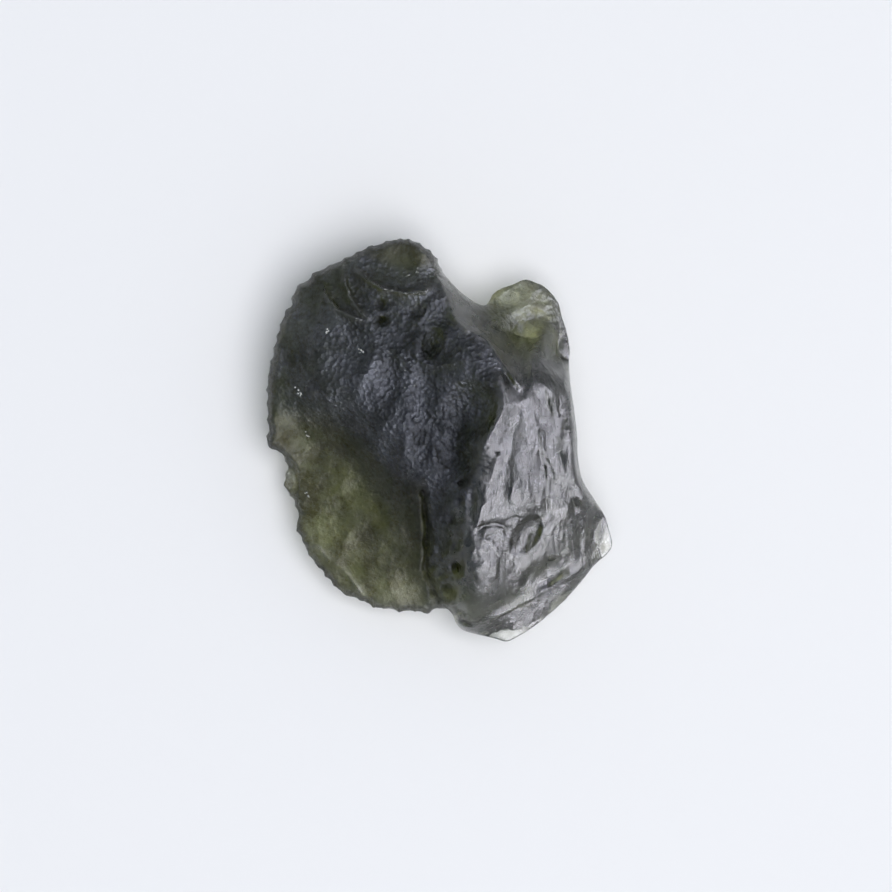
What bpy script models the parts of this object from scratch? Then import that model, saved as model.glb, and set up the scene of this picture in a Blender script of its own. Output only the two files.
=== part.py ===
"""A raw moldavite: one piece of natural green impact glass, lying on its back.

Lengths are in millimetres, and MM turns them into Blender's metres where the mesh is made.
+X runs across the stone, +Y along it towards the shallow dish at its top end, and +Z up, out of
its sculpted front. The origin is under the middle of the outline, on the surface it rests on.
"""

import math

import bmesh
import bpy
import numpy as np
from mathutils import Vector
from mathutils.geometry import delaunay_2d_cdt

MM = 0.001

# Driving dimensions
LENGTH = 15.0
WIDTH = 12.9
THICKNESS = 6.9

# Mesh sizes
RIM_STEP = 0.24
FRONT_STEP = 0.235
BACK_STEP = 0.33
RIM_ROUND = 0.32
BACK_ROUND = 1.7
RIM_RING_ANGLES = (28, 58)
SHARP_EDGE = math.radians(38)

# The outline seen from the front, anticlockwise from the notch beside the knob. Each point has the
# height of the thin edge there: (x, y, height above the surface).
OUTLINE = (
    (1.55, 5.00, 2.5),
    (0.90, 5.40, 2.6),
    (0.43, 5.87, 2.7),
    (0.08, 6.40, 2.7),
    (-0.10, 6.82, 2.7),
    (-0.65, 7.27, 2.7),
    (-1.32, 7.49, 2.7),
    (-2.25, 7.28, 2.6),
    (-2.95, 7.03, 2.5),
    (-3.75, 6.64, 2.4),
    (-4.25, 6.40, 2.4),
    (-4.62, 6.22, 2.4),
    (-4.84, 5.98, 2.3),
    (-5.22, 5.78, 2.3),
    (-5.46, 5.40, 2.3),
    (-5.50, 5.02, 2.3),
    (-5.74, 4.76, 2.2),
    (-5.97, 4.20, 2.2),
    (-6.20, 3.30, 2.1),
    (-6.37, 2.35, 2.1),
    (-6.43, 1.60, 2.1),
    (-6.45, 0.95, 2.0),
    (-6.38, 0.35, 2.0),
    (-6.46, -0.12, 1.9),
    (-6.22, -0.42, 1.8),
    (-5.88, -0.60, 1.6),
    (-5.80, -0.80, 1.4),
    (-5.70, -1.13, 1.3),
    (-5.84, -1.62, 1.3),
    (-5.70, -1.95, 1.4),
    (-5.44, -2.35, 1.5),
    (-5.30, -2.85, 1.5),
    (-5.39, -3.24, 1.5),
    (-5.18, -3.75, 1.5),
    (-5.02, -4.12, 1.4),
    (-4.74, -4.56, 1.4),
    (-4.32, -5.08, 1.4),
    (-3.98, -5.42, 1.3),
    (-3.66, -5.74, 1.3),
    (-3.24, -5.93, 1.3),
    (-2.76, -6.12, 1.3),
    (-2.32, -6.33, 1.3),
    (-1.80, -6.40, 1.3),
    (-1.35, -6.49, 1.3),
    (-0.98, -6.45, 1.3),
    (-0.50, -6.55, 1.3),
    (-0.08, -6.37, 1.3),
    (0.25, -6.33, 1.2),
    (0.50, -6.50, 1.4),
    (0.66, -6.88, 1.4),
    (0.97, -7.14, 1.5),
    (1.55, -7.28, 2.00),
    (2.12, -7.40, 2.30),
    (2.50, -7.50, 2.30),
    (2.85, -7.37, 2.30),
    (3.42, -7.03, 2.30),
    (4.15, -6.45, 2.30),
    (4.83, -5.82, 2.30),
    (5.42, -5.12, 2.30),
    (5.86, -4.60, 2.25),
    (6.24, -4.27, 2.35),
    (6.44, -3.92, 2.45),
    (6.31, -3.28, 2.55),
    (6.08, -2.68, 2.55),
    (5.71, -2.12, 2.2),
    (5.33, -1.48, 2.2),
    (5.16, -0.68, 2.5),
    (5.12, 0.20, 2.6),
    (5.02, 1.10, 2.6),
    (4.89, 2.04, 2.5),
    (4.84, 2.85, 2.4),
    (4.86, 3.40, 2.3),
    (4.77, 3.95, 2.2),
    (4.60, 4.55, 2.1),
    (4.42, 5.12, 2.0),
    (4.12, 5.54, 2.1),
    (3.66, 5.82, 2.1),
    (3.18, 5.95, 2.1),
    (2.78, 5.80, 2.1),
    (2.36, 5.64, 2.1),
    (2.02, 5.38, 2.2),
    (1.84, 5.09, 2.3),
)

# Heights of the front at landmarks: (x, y, height). The surface runs smoothly through them.
FRONT_LANDMARKS = (
    # just inside the left and upper edge
    (-6.05, 0.00, 3.0),
    (-6.10, 1.85, 3.3),
    (-5.75, 3.70, 3.5),
    (-4.95, 5.30, 3.8),
    (-3.50, 6.40, 4.2),
    (-1.40, 7.05, 4.5),
    (-0.30, 6.60, 4.5),
    # just inside the thin lower left plate
    (-5.30, -2.20, 2.2),
    (-4.65, -4.00, 2.1),
    (-3.45, -5.40, 2.0),
    (-1.45, -6.05, 2.1),
    (-0.25, -5.90, 2.3),
    # the plate itself
    (-5.20, 0.20, 2.6),
    (-3.90, 0.00, 2.9),
    (-2.80, -0.90, 3.1),
    (-1.80, -1.90, 3.3),
    (-4.10, -1.30, 2.7),
    (-3.30, -3.30, 2.5),
    (-1.80, -4.40, 2.8),
    (-1.10, -2.90, 3.4),
    (-0.90, -4.10, 3.1),
    # the step above the plate
    (-4.80, 1.60, 4.1),
    (-3.60, 1.30, 4.6),
    (-2.40, 0.50, 4.9),
    (-1.20, -0.70, 5.0),
    (-0.60, -1.40, 4.9),
    # the scalloped upper left
    (-4.40, 3.70, 4.6),
    (-3.30, 5.20, 4.7),
    (-1.80, 4.45, 5.2),
    (-2.20, 2.00, 5.3),
    # the middle
    (-0.30, 2.20, 5.5),
    (-0.10, 0.20, 5.3),
    (0.05, 4.45, 5.4),
    (0.80, -0.50, 5.4),
    (0.50, -2.00, 5.2),
    (0.45, -3.40, 4.9),
    (0.70, -4.70, 4.7),
    # the crest beside the neck
    (-0.10, 6.00, 4.5),
    (0.30, 5.20, 4.9),
    (0.85, 4.20, 5.4),
    (1.75, 3.60, 5.4),
    (2.30, 2.80, 5.7),
    (3.00, 1.90, 6.1),
    # the flank that falls from that crest to the notch
    (0.75, 5.25, 3.9),
    (1.36, 4.85, 3.7),
    (1.75, 4.20, 4.2),
    # the knob and its neck
    (3.05, 5.00, 2.8),
    (2.35, 5.20, 2.4),
    (2.50, 4.45, 3.2),
    (3.95, 5.00, 2.6),
    (3.95, 4.25, 2.9),
    (3.25, 3.80, 2.9),
    (4.35, 3.35, 2.8),
    (2.35, 3.55, 4.3),
    (2.85, 2.85, 5.0),
    (3.40, 3.30, 4.2),
    # the upper end of the glossy ridge
    (3.95, 3.60, 3.9),
    (3.60, 2.95, 4.9),
    (4.35, 2.40, 4.8),
    (4.70, 2.40, 4.2),
    # the crest of the glossy ridge
    (2.35, 1.00, 6.5),
    (2.30, 0.00, 6.5),
    (2.20, -1.50, 6.25),
    (2.10, -3.00, 5.75),
    (1.25, -3.90, 5.7),
    (2.20, -3.90, 5.3),
    (1.30, -4.70, 5.4),
    (2.10, -4.70, 5.1),
    (1.30, -5.50, 4.7),
    (2.20, -5.50, 4.4),
    (1.15, -6.40, 3.7),
    # its left shoulder
    (1.45, -0.40, 6.35),
    (1.22, -1.60, 6.2),
    (1.12, -2.80, 5.9),
    # its right flank
    (3.40, 0.90, 6.1),
    (3.40, -0.70, 6.1),
    (3.30, -2.00, 5.9),
    (4.10, 0.90, 5.7),
    (4.10, -0.70, 5.7),
    (4.15, -2.00, 5.4),
    (4.65, 0.90, 5.4),
    (4.70, -0.70, 5.5),
    (4.95, -2.00, 5.0),
    (3.95, -2.80, 5.0),
    (4.55, -3.75, 4.2),
    (5.10, -3.00, 4.2),
    (5.25, -3.90, 3.4),
    (5.95, -3.35, 2.6),
    (6.00, -3.90, 2.5),
    (2.75, -5.00, 4.4),
    (4.15, -4.90, 3.6),
    (3.20, -5.40, 3.8),
    # the crest above the chipped facet at the lower right
    (5.65, -4.45, 2.8),
    (4.53, -5.23, 3.2),
    (3.60, -5.80, 3.3),
    (2.48, -6.40, 3.3),
    (1.36, -6.87, 2.9),
)

# Heights of the back, which faces the surface that the stone lies on.
BACK_LANDMARKS = (
    (0.90, -0.60, -0.45),
    (-0.30, 0.80, 0.00),
    (2.40, -1.20, 0.05),
    (0.90, -2.40, 0.05),
    (1.20, 1.60, 0.10),
    (-1.20, -1.20, 0.15),
    (-5.90, 1.20, 0.62),
    (-5.40, -2.40, 0.62),
    (-5.55, -1.30, 0.81),
    (-4.50, -4.20, 0.59),
    (-3.00, -5.60, 0.56),
    (-1.20, -6.00, 0.53),
    (-3.00, -2.60, 0.50),
    (-4.20, 0.20, 0.50),
    (-4.30, 3.20, 0.56),
    (-4.40, 5.40, 0.81),
    (-2.00, 4.60, 0.50),
    (-1.30, 6.90, 0.78),
    (0.20, 5.60, 0.87),
    (2.40, 3.60, 1.45),
    (3.20, 5.20, 1.40),
    (4.30, 3.80, 1.20),
    (4.50, 1.20, 0.62),
    (4.60, -1.40, 0.50),
    (5.80, -3.50, 2.05),
    (3.60, -4.20, 0.50),
    (5.20, -4.60, 1.50),
    (3.40, -6.20, 1.40),
    (4.40, -5.70, 2.00),
    (2.30, -6.90, 2.00),
    (0.70, -5.60, 0.43),
)

# Hollows with a crisp rim: (x, y, half length, half width, turn in degrees, depth)
FRONT_SCOOPS = (
    # the shallow dish at the top end
    (-1.50, 6.35, 1.60, 0.95, -11, 0.34),
    # overlapping scallops beside the dish
    (-3.00, 5.30, 1.00, 0.42, -71, 0.14),
    (-3.75, 5.45, 0.95, 0.50, -69, 0.18),
    (-4.80, 4.85, 0.85, 0.58, -50, 0.14),
    # broad bowls of the upper left
    (-3.25, 3.35, 1.20, 0.88, 80, 0.22),
    (-5.25, 3.50, 1.10, 0.60, 80, 0.14),
    (-5.35, 1.50, 1.10, 0.60, 86, 0.12),
    (-3.40, 1.60, 0.80, 0.55, 60, 0.14),
    # troughs that run down through the middle
    (-1.80, 2.05, 1.55, 0.45, 88, 0.13),
    (-0.50, 1.60, 1.05, 0.48, 82, 0.11),
    (-2.50, 0.55, 0.85, 0.42, 60, 0.08),
    (-1.70, -0.40, 0.85, 0.42, 75, 0.10),
    (-0.65, -0.40, 0.90, 0.40, 85, 0.10),
    # the deep hole and the small holes round it
    (-0.20, 3.52, 0.62, 0.44, 75, 0.36),
    (-2.10, 4.95, 0.36, 0.28, 80, 0.15),
    (-2.05, 4.38, 0.30, 0.26, 0, 0.20),
    (-0.85, 4.70, 0.45, 0.34, 20, 0.14),
    # the hollow that undercuts the ridge on its left
    (1.10, 1.05, 1.15, 1.02, 70, 0.60),
    (0.85, -0.90, 0.80, 0.55, 60, 0.20),
    # the small holes and the fissure down the left of the ridge
    (0.90, -1.60, 0.34, 0.26, 20, 0.25),
    (1.25, -2.30, 0.85, 0.30, 84, 0.16),
    (0.70, -2.70, 0.55, 0.34, 70, 0.14),
    # the hollow across the foot of the ridge
    (3.20, -3.50, 0.85, 0.50, 58, 0.36),
    # the smooth patch on the swelling at the foot of the ridge
    (1.55, -4.35, 0.50, 0.36, 15, 0.06),
    # flutes down the right flank
    (3.80, 1.10, 1.15, 0.36, -80, 0.14),
    (4.55, 1.60, 1.60, 0.30, 88, 0.14),
    (3.60, -1.20, 0.90, 0.36, 80, 0.12),
    (4.45, -1.90, 0.65, 0.40, -70, 0.14),
    (5.15, -2.60, 0.60, 0.34, -55, 0.14),
    # the flat between the ridge's foot and the chipped facet
    (3.85, -4.95, 1.05, 0.52, 28, 0.20),
    # hollows between the lumps of the knob
    (2.55, 5.15, 0.50, 0.38, 30, 0.14),
    (3.60, 4.55, 0.62, 0.36, -25, 0.16),
    (3.85, 5.25, 0.42, 0.34, 10, 0.12),
    # the chip out of the left edge
    (-5.60, -1.32, 0.85, 0.46, 104, 1.15),
    # holes at the foot of the groove
    (0.10, -4.00, 0.36, 0.26, 70, 0.22),
    (0.70, -4.70, 0.42, 0.30, 80, 0.30),
    (0.40, -5.60, 0.40, 0.34, 60, 0.32),
    (0.72, -6.35, 0.36, 0.30, 40, 0.30),
)

# Raised lines: (height, half width, points along the crest)
FRONT_RIDGES = (
    # the lower lip of the dish
    (
        0.22,
        0.18,
        ((-3.10, 6.40), (-2.75, 5.95), (-2.00, 5.50), (-1.25, 5.36), (-0.50, 5.40), (-0.05, 5.80)),
    ),
    # lips of the scallops
    (0.22, 0.20, ((-3.48, 6.30), (-3.42, 5.75), (-3.20, 5.20), (-2.85, 4.65), (-2.45, 4.35))),
    (0.24, 0.20, ((-4.23, 5.85), (-4.12, 5.28), (-3.67, 4.76), (-3.10, 4.46), (-2.60, 4.30))),
    (0.08, 0.28, ((-4.23, 4.10), (-4.50, 3.35), (-4.38, 2.40), (-3.86, 1.55))),
    # textured ridges between the troughs
    (0.11, 0.30, ((-2.18, 3.60), (-2.40, 2.90), (-2.85, 2.05), (-3.15, 1.05))),
    (0.11, 0.26, ((-1.50, 3.35), (-1.17, 2.86), (-0.76, 2.30))),
    (0.11, 0.28, ((-1.25, 1.75), (-1.14, 1.05), (-1.17, 0.20), (-1.38, -1.00))),
    (0.10, 0.28, ((0.06, 2.67), (0.28, 2.04), (0.32, 1.30))),
    (0.14, 0.25, ((-0.24, 0.05), (-0.10, -1.10))),
    # the rim of the deep hole
    (0.14, 0.20, ((-1.06, 3.55), (-0.76, 2.95), (-0.20, 2.60), (0.48, 2.80), (0.72, 3.35))),
    # the crest that falls from the dish to the ridge
    (
        0.30,
        0.20,
        ((-0.10, 6.10), (0.32, 5.20), (0.60, 4.40), (1.00, 4.02), (1.75, 3.64), (2.30, 2.80), (3.05, 1.80)),
    ),
    # the smooth lip along the left of the ridge
    (0.30, 0.34, ((1.75, 2.30), (2.30, 2.10), (2.40, 1.20), (1.95, 0.30), (1.45, -0.60))),
    # the crest above the chipped facet at the lower right
    (0.18, 0.22, ((1.20, -6.85), (2.48, -6.45), (3.60, -5.85), (4.53, -5.25), (5.65, -4.48))),
    # the crease round the bulge in the right edge
    (0.14, 0.20, ((5.20, -1.90), (5.45, -2.80), (5.50, -4.30))),
    # the bevel of the lower left edge
    (0.10, 0.16, ((-5.05, -3.90), (-4.20, -4.30), (-3.40, -5.00), (-2.70, -5.90))),
)

# Sunk lines: (depth, half width, points along the bottom)
FRONT_GROOVES = (
    # the deep groove between the thin plate and the ridge
    (
        0.34,
        0.13,
        ((-0.60, -1.60), (-0.50, -2.20), (-0.42, -3.70), (-0.48, -4.80), (-0.15, -5.60), (0.05, -6.90)),
    ),
    # the crease under the knob
    (0.08, 0.14, ((2.00, 4.20), (2.72, 4.00), (3.22, 3.80), (3.85, 3.78))),
    # the fold across the foot of the ridge
    (0.14, 0.18, ((1.20, -3.50), (1.70, -3.15), (2.35, -3.10), (2.80, -3.60))),
    # the furrow between the smooth lip and the middle of the ridge
    (0.12, 0.26, ((2.80, 0.60), (2.65, -0.30), (2.42, -1.30))),
    # the dark furrow down the right flank
    (0.20, 0.22, ((3.80, 1.90), (4.15, 0.70), (4.45, -0.60), (4.80, -1.90), (5.15, -2.90))),
    # the fissure that ends at the small hole
    (0.16, 0.14, ((1.30, -1.60), (1.15, -2.70), (1.35, -3.40))),
)

# Flat chips off the front: (x, y, height there, direction of the fall in degrees, slope)
FRONT_CHIPS = ((2.48, -6.42, 3.1, -61.8, 0.8),)

# Where the weathered left and middle give way to the glossy ridge: (x, y) from the top end down
GLOSS_EDGE = (
    (-0.20, 7.50),
    (-0.13, 6.10),
    (0.32, 5.20),
    (0.60, 4.40),
    (1.60, 3.70),
    (2.25, 3.00),
    (2.20, 1.50),
    (1.55, 0.00),
    (1.20, -2.20),
    (0.60, -3.70),
    (0.45, -7.50),
)

# Scallops by rule: (size of one, depth, turn in degrees, how much longer than wide)
WEATHERED_SCALLOPS = (0.95, 0.15, 70, 1.3)
GLOSSY_SCALLOPS = (0.95, 0.14, 80, 2.0)
BACK_SCALLOPS = (1.35, 0.42, 55, 1.4)

# Hollows of the back: (x, y, half length, half width, turn in degrees, depth)
BACK_SCOOPS = (
    (-3.60, 3.90, 1.30, 0.90, 40, 0.45),
    (-4.90, 1.80, 1.10, 0.75, 80, 0.35),
    (-1.50, 4.90, 1.20, 0.80, -20, 0.45),
    (-3.10, 0.90, 1.20, 0.85, 20, 0.40),
    (-4.70, -1.30, 0.95, 0.70, 60, 0.30),
    (-3.00, -3.60, 1.25, 0.85, -40, 0.35),
    (-1.10, -4.60, 1.00, 0.70, 30, 0.40),
    (0.60, 3.60, 1.00, 0.75, 70, 0.45),
    (2.70, 2.10, 1.15, 0.75, 50, 0.45),
    (3.90, -0.10, 1.10, 0.70, 85, 0.40),
    (3.80, -3.00, 1.10, 0.80, -50, 0.40),
    (1.60, -4.80, 1.15, 0.80, 15, 0.45),
    (-2.00, 2.60, 0.80, 0.60, -60, 0.35),
    (3.10, 4.70, 0.80, 0.60, 30, 0.35),
    (-2.10, -1.50, 0.80, 0.55, 75, 0.25),
)

# Sunk lines of the back: (depth, half width, points along the bottom)
BACK_GROOVES = (
    (0.35, 0.35, ((-4.90, 4.40), (-2.80, 2.20), (-2.40, -0.40))),
    (0.40, 0.32, ((1.20, 4.60), (1.90, 3.00), (3.60, 1.20))),
    (0.35, 0.34, ((-2.20, -5.40), (-0.60, -3.40), (1.20, -3.90), (3.00, -5.60))),
)

# Rules of the relief: the least step from the rim to either face, the width over which the glossy
# skin begins, and where the middle of a scallop may lie in its cell of a pattern that repeats
LEAST_STEP = 0.15
GLOSS_BLEND = 0.5
CELL_MARGIN = 0.15
PATTERN_CELLS = 64

# A line's foot in half widths, the power of its profile, and how far it fades at its ends
LINE_FOOT = 1.6
LINE_POWER = 1.5
LINE_FADE = 0.45
FADED_SHARE = 0.25

# How finely the outline is traced, and how close the rings and the grid may come to it
CURVE_STEPS = 24
RING_CLEARANCE = 0.9
GRID_CLEARANCE = 0.8

BODY_COLOUR = (0.075, 0.082, 0.052, 1.0)
BODY_ROUGHNESS = 0.22
GLASS_IOR = 1.49


def clear_scene():
    for old in list(bpy.data.objects):
        bpy.data.objects.remove(old)


def outline_curve():
    """The outline as a smooth closed curve of evenly spaced points, scaled to LENGTH and WIDTH."""
    knots = np.array(OUTLINE)
    before, start = np.roll(knots, 1, axis=0), knots
    end, after = np.roll(knots, -1, axis=0), np.roll(knots, -2, axis=0)
    dense = []
    for t in np.linspace(0, 1, CURVE_STEPS, endpoint=False):
        dense.append(
            0.5
            * (
                2 * start
                + (end - before) * t
                + (2 * before - 5 * start + 4 * end - after) * t**2
                + (3 * start - before - 3 * end + after) * t**3
            )
        )
    dense = np.stack(dense, axis=1).reshape(-1, 3)
    steps = np.linalg.norm(np.diff(dense[:, :2], axis=0, append=dense[:1, :2]), axis=1)
    along = np.concatenate([[0], np.cumsum(steps)])
    stops = np.arange(round(along[-1] / RIM_STEP)) * along[-1] / round(along[-1] / RIM_STEP)
    closed = np.vstack([dense, dense[:1]])
    rim = np.stack([np.interp(stops, along, closed[:, i]) for i in range(3)], axis=1)
    low, high = rim[:, :2].min(0), rim[:, :2].max(0)
    rim[:, :2] = (rim[:, :2] - (low + high) / 2) * (WIDTH, LENGTH) / (high - low)
    return rim


def smooth_surface(landmarks, softness=0.6):
    """A function of (x, y) that passes through the landmarks' heights, by multiquadric interpolation."""
    places = np.array(landmarks)
    centres, heights = places[:, :2], places[:, 2]
    level = heights.mean()
    gaps = np.linalg.norm(centres[:, None] - centres[None], axis=2)
    weights = np.linalg.solve(np.hypot(gaps, softness), heights - level)

    def height(points):
        away = np.linalg.norm(points[:, None] - centres[None], axis=2)
        return level + np.hypot(away, softness) @ weights

    return height


def scoops(points, hollows):
    """How far the hollows sink the surface. Where two meet, the deeper one counts."""
    sunk = np.zeros(len(points))
    for x, y, half_length, half_width, turn, depth in hollows:
        angle = math.radians(turn)
        along = np.array((math.cos(angle), math.sin(angle)))
        across = np.array((-along[1], along[0]))
        away = points - (x, y)
        reach = (away @ along / half_length) ** 2 + (away @ across / half_width) ** 2
        sunk = np.maximum(sunk, depth * np.clip(1 - reach, 0, 1))
    return sunk


def scallops(points, size, depth, turn, stretch, seed, variety=0.3):
    """How far shallow pits of about one size sink the surface. They cover it, and meet in crisp edges."""
    angle = math.radians(turn)
    along = points @ (math.cos(angle), math.sin(angle)) / (size * stretch)
    across = points @ (-math.sin(angle), math.cos(angle)) / size
    random = np.random.default_rng(seed)
    middles = random.uniform(CELL_MARGIN, 1 - CELL_MARGIN, (PATTERN_CELLS, PATTERN_CELLS, 2))
    raised = random.uniform(0, variety, (PATTERN_CELLS, PATTERN_CELLS))
    column, row = np.floor(along).astype(int), np.floor(across).astype(int)
    nearest = np.full(len(points), np.inf)
    hops = range(-2, 3)
    for i, j in [(column + hop, row + jump) for hop in hops for jump in hops]:
        cell = i % PATTERN_CELLS, j % PATTERN_CELLS
        gap = (i + middles[cell][:, 0] - along) ** 2 + (j + middles[cell][:, 1] - across) ** 2
        nearest = np.minimum(nearest, gap + raised[cell])
    return depth * (0.5 - nearest)


def glossy_share(points):
    """0 over the weathered left and middle of the front, 1 over the glossy right."""
    edge = np.array(GLOSS_EDGE[::-1])
    beyond = points[:, 0] - np.interp(points[:, 1], edge[:, 1], edge[:, 0])
    return np.clip(beyond / GLOSS_BLEND + 0.5, 0, 1)


def distance_to_path(points, path, closed=False):
    """Each point's distance to a line through the path's points, and where on the path it is nearest."""
    path = np.array(path)[:, :2]
    ends = np.roll(path, -1, axis=0) if closed else path[1:]
    starts = path if closed else path[:-1]
    sides = ends - starts
    away = points[:, None] - starts[None]
    share = np.clip((away * sides).sum(2) / (sides**2).sum(1), 0, 1)
    gaps = np.linalg.norm(away - share[..., None] * sides, axis=2)
    nearest = gaps.argmin(1)
    rows = np.arange(len(points))
    return gaps[rows, nearest], nearest, share[rows, nearest]


def lines(points, strokes):
    """How far the lines raise the surface, or sink it: a tent with a rounded foot along each path."""
    moved = np.zeros(len(points))
    for size, half_width, path in strokes:
        gap, start, share = distance_to_path(points, path)
        runs = np.linalg.norm(np.diff(path, axis=0), axis=1)
        reached = np.append(0, np.cumsum(runs))
        along = reached[start] + share * runs[start]
        fade = min(LINE_FADE, FADED_SHARE * reached[-1])
        full = np.clip(np.minimum(along, reached[-1] - along) / fade, 0, 1)
        profile = np.clip(1 - gap / (LINE_FOOT * half_width), 0, 1) ** LINE_POWER
        moved = np.maximum(moved, size * full * profile)
    return moved


def chips(points, cuts):
    """The height that flat chips leave. Each falls away on one side of a straight crest."""
    limit = np.full(len(points), np.inf)
    for x, y, height, direction, slope in cuts:
        angle = math.radians(direction)
        beyond = (points - (x, y)) @ (math.cos(angle), math.sin(angle))
        limit = np.where(beyond > 0, np.minimum(limit, height - slope * beyond), limit)
    return limit


def rim_facts(points, rim):
    """Each point's distance to the rim, and the rim's height where it is nearest."""
    gap, start, share = distance_to_path(points, rim, closed=True)
    end = (start + 1) % len(rim)
    return gap, rim[start, 2] * (1 - share) + rim[end, 2] * share


def rounded(points, rim, surface, width):
    """The surface's heights, turned over to meet the rim in a rounded edge of that width."""
    gap, edge = rim_facts(points, rim)
    depth = np.clip(gap / width, 0, 1)
    return edge + (surface - edge) * np.sqrt(1 - (1 - depth) ** 2)


def front_heights(points, rim):
    surface = smooth_surface(FRONT_LANDMARKS)(points)
    surface = surface - scoops(points, FRONT_SCOOPS) + lines(points, FRONT_RIDGES)
    surface = surface - lines(points, FRONT_GROOVES)
    glossy = glossy_share(points)
    surface = surface - (1 - glossy) * scallops(points, *WEATHERED_SCALLOPS, seed=11)
    surface = surface - glossy * scallops(points, *GLOSSY_SCALLOPS, seed=12)
    surface = np.minimum(surface, chips(points, FRONT_CHIPS))
    _, edge = rim_facts(points, rim)
    return rounded(points, rim, np.maximum(surface, edge + LEAST_STEP), RIM_ROUND)


def back_heights(points, rim):
    surface = smooth_surface(BACK_LANDMARKS)(points)
    surface = surface + scoops(points, BACK_SCOOPS) + lines(points, BACK_GROOVES)
    surface = surface + scallops(points, *BACK_SCALLOPS, seed=13)
    _, edge = rim_facts(points, rim)
    return rounded(points, rim, np.minimum(surface, edge - LEAST_STEP), BACK_ROUND)


def inside_outline(points, rim):
    """True for points inside the closed outline, by counting the sides that a ray to +X crosses."""
    x, y = points[:, :1], points[:, 1:2]
    x0, y0 = rim[:, 0], rim[:, 1]
    x1, y1 = np.roll(x0, -1), np.roll(y0, -1)
    spans = (y0 > y) != (y1 > y)
    crossing = x0 + (y - y0) * (x1 - x0) / np.where(y1 == y0, 1, y1 - y0)
    return (spans & (x < crossing)).sum(1) % 2 == 1


def face_points(rim, step):
    """Points inside the outline: rings close to the rim, where the edge turns over, then an even grid."""
    tangent = np.roll(rim[:, :2], -1, axis=0) - np.roll(rim[:, :2], 1, axis=0)
    inward = np.stack([-tangent[:, 1], tangent[:, 0]], axis=1)
    inward /= np.linalg.norm(inward, axis=1)[:, None]
    found = []
    for angle in RIM_RING_ANGLES:
        depth = RIM_ROUND * (1 - math.cos(math.radians(angle)))
        ring = rim[:, :2] + depth * inward
        gap = rim_facts(ring, rim)[0]
        found.append(ring[gap > RING_CLEARANCE * depth])
    row = step * math.sqrt(3) / 2
    grid = [
        (x + (j % 2) * step / 2, y)
        for j, y in enumerate(np.arange(-LENGTH / 2, LENGTH / 2, row))
        for x in np.arange(-WIDTH / 2, WIDTH / 2, step)
    ]
    grid = np.array(grid)
    grid = grid[inside_outline(grid, rim)]
    found.append(grid[rim_facts(grid, rim)[0] > GRID_CLEARANCE * RIM_ROUND])
    return np.vstack(found)


def triangles_between(rim, inner):
    """Triangles of the flat region inside the rim, with corners numbered rim first and then inner."""
    places = [Vector(p) for p in np.vstack([rim[:, :2], inner])]
    outer = [list(range(len(rim)))]
    made = delaunay_2d_cdt(places, [], outer, 1, 1e-6)
    origin = [sources[0] for sources in made[3]]
    return [[origin[i] for i in face] for face in made[2]]


def stone_mesh():
    rim = outline_curve()
    front_plan = face_points(rim, FRONT_STEP)
    back_plan = face_points(rim, BACK_STEP)
    front = np.column_stack([front_plan, front_heights(front_plan, rim)])
    back = np.column_stack([back_plan, back_heights(back_plan, rim)])
    corners = np.vstack([rim, front, back])
    high = corners[:, 2].max()
    corners[:, 2] *= THICKNESS / high
    faces = triangles_between(rim, front_plan)
    shift = len(front)
    for a, b, c in triangles_between(rim, back_plan):
        faces.append([i if i < len(rim) else i + shift for i in (a, c, b)])
    mesh = bpy.data.meshes.new("moldavite")
    mesh.from_pydata((corners * MM).tolist(), [], faces)
    return mesh


def cut_rest_spot(mesh):
    """Cuts off what hangs below the resting surface, which leaves the small flat spot on the back."""
    cut = bmesh.new()
    cut.from_mesh(mesh)
    bmesh.ops.bisect_plane(
        cut,
        geom=cut.verts[:] + cut.edges[:] + cut.faces[:],
        dist=1e-7,
        plane_co=(0, 0, 0),
        plane_no=(0, 0, -1),
        clear_outer=True,
    )
    open_edges = [edge for edge in cut.edges if edge.is_boundary]
    bmesh.ops.holes_fill(cut, edges=open_edges, sides=0)
    bmesh.ops.recalc_face_normals(cut, faces=cut.faces)
    cut.to_mesh(mesh)
    cut.free()


def glass():
    material = bpy.data.materials.new("moldavite_glass")
    material.use_nodes = True
    shader = material.node_tree.nodes["Principled BSDF"]
    shader.inputs["Base Color"].default_value = BODY_COLOUR
    shader.inputs["Roughness"].default_value = BODY_ROUGHNESS
    shader.inputs["Metallic"].default_value = 0.0
    shader.inputs["IOR"].default_value = GLASS_IOR
    return material


def make_stone():
    mesh = stone_mesh()
    cut_rest_spot(mesh)
    mesh.shade_smooth()
    mesh.set_sharp_from_angle(angle=SHARP_EDGE)
    stone = bpy.data.objects.new("moldavite", mesh)
    stone.data.materials.append(glass())
    bpy.context.scene.collection.objects.link(stone)
    return stone


clear_scene()
make_stone()
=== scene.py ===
"""A raw moldavite on white paper, seen from straight above.

The stone is shaped by the same outline, landmarks and rules as its solid, with the fine relief of
its etched skin on top. Lengths of the stone are in millimetres, and MM turns them into metres.
"""

import math

import bmesh
import bpy
import numpy as np
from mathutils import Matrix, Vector
from mathutils.geometry import delaunay_2d_cdt


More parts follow.
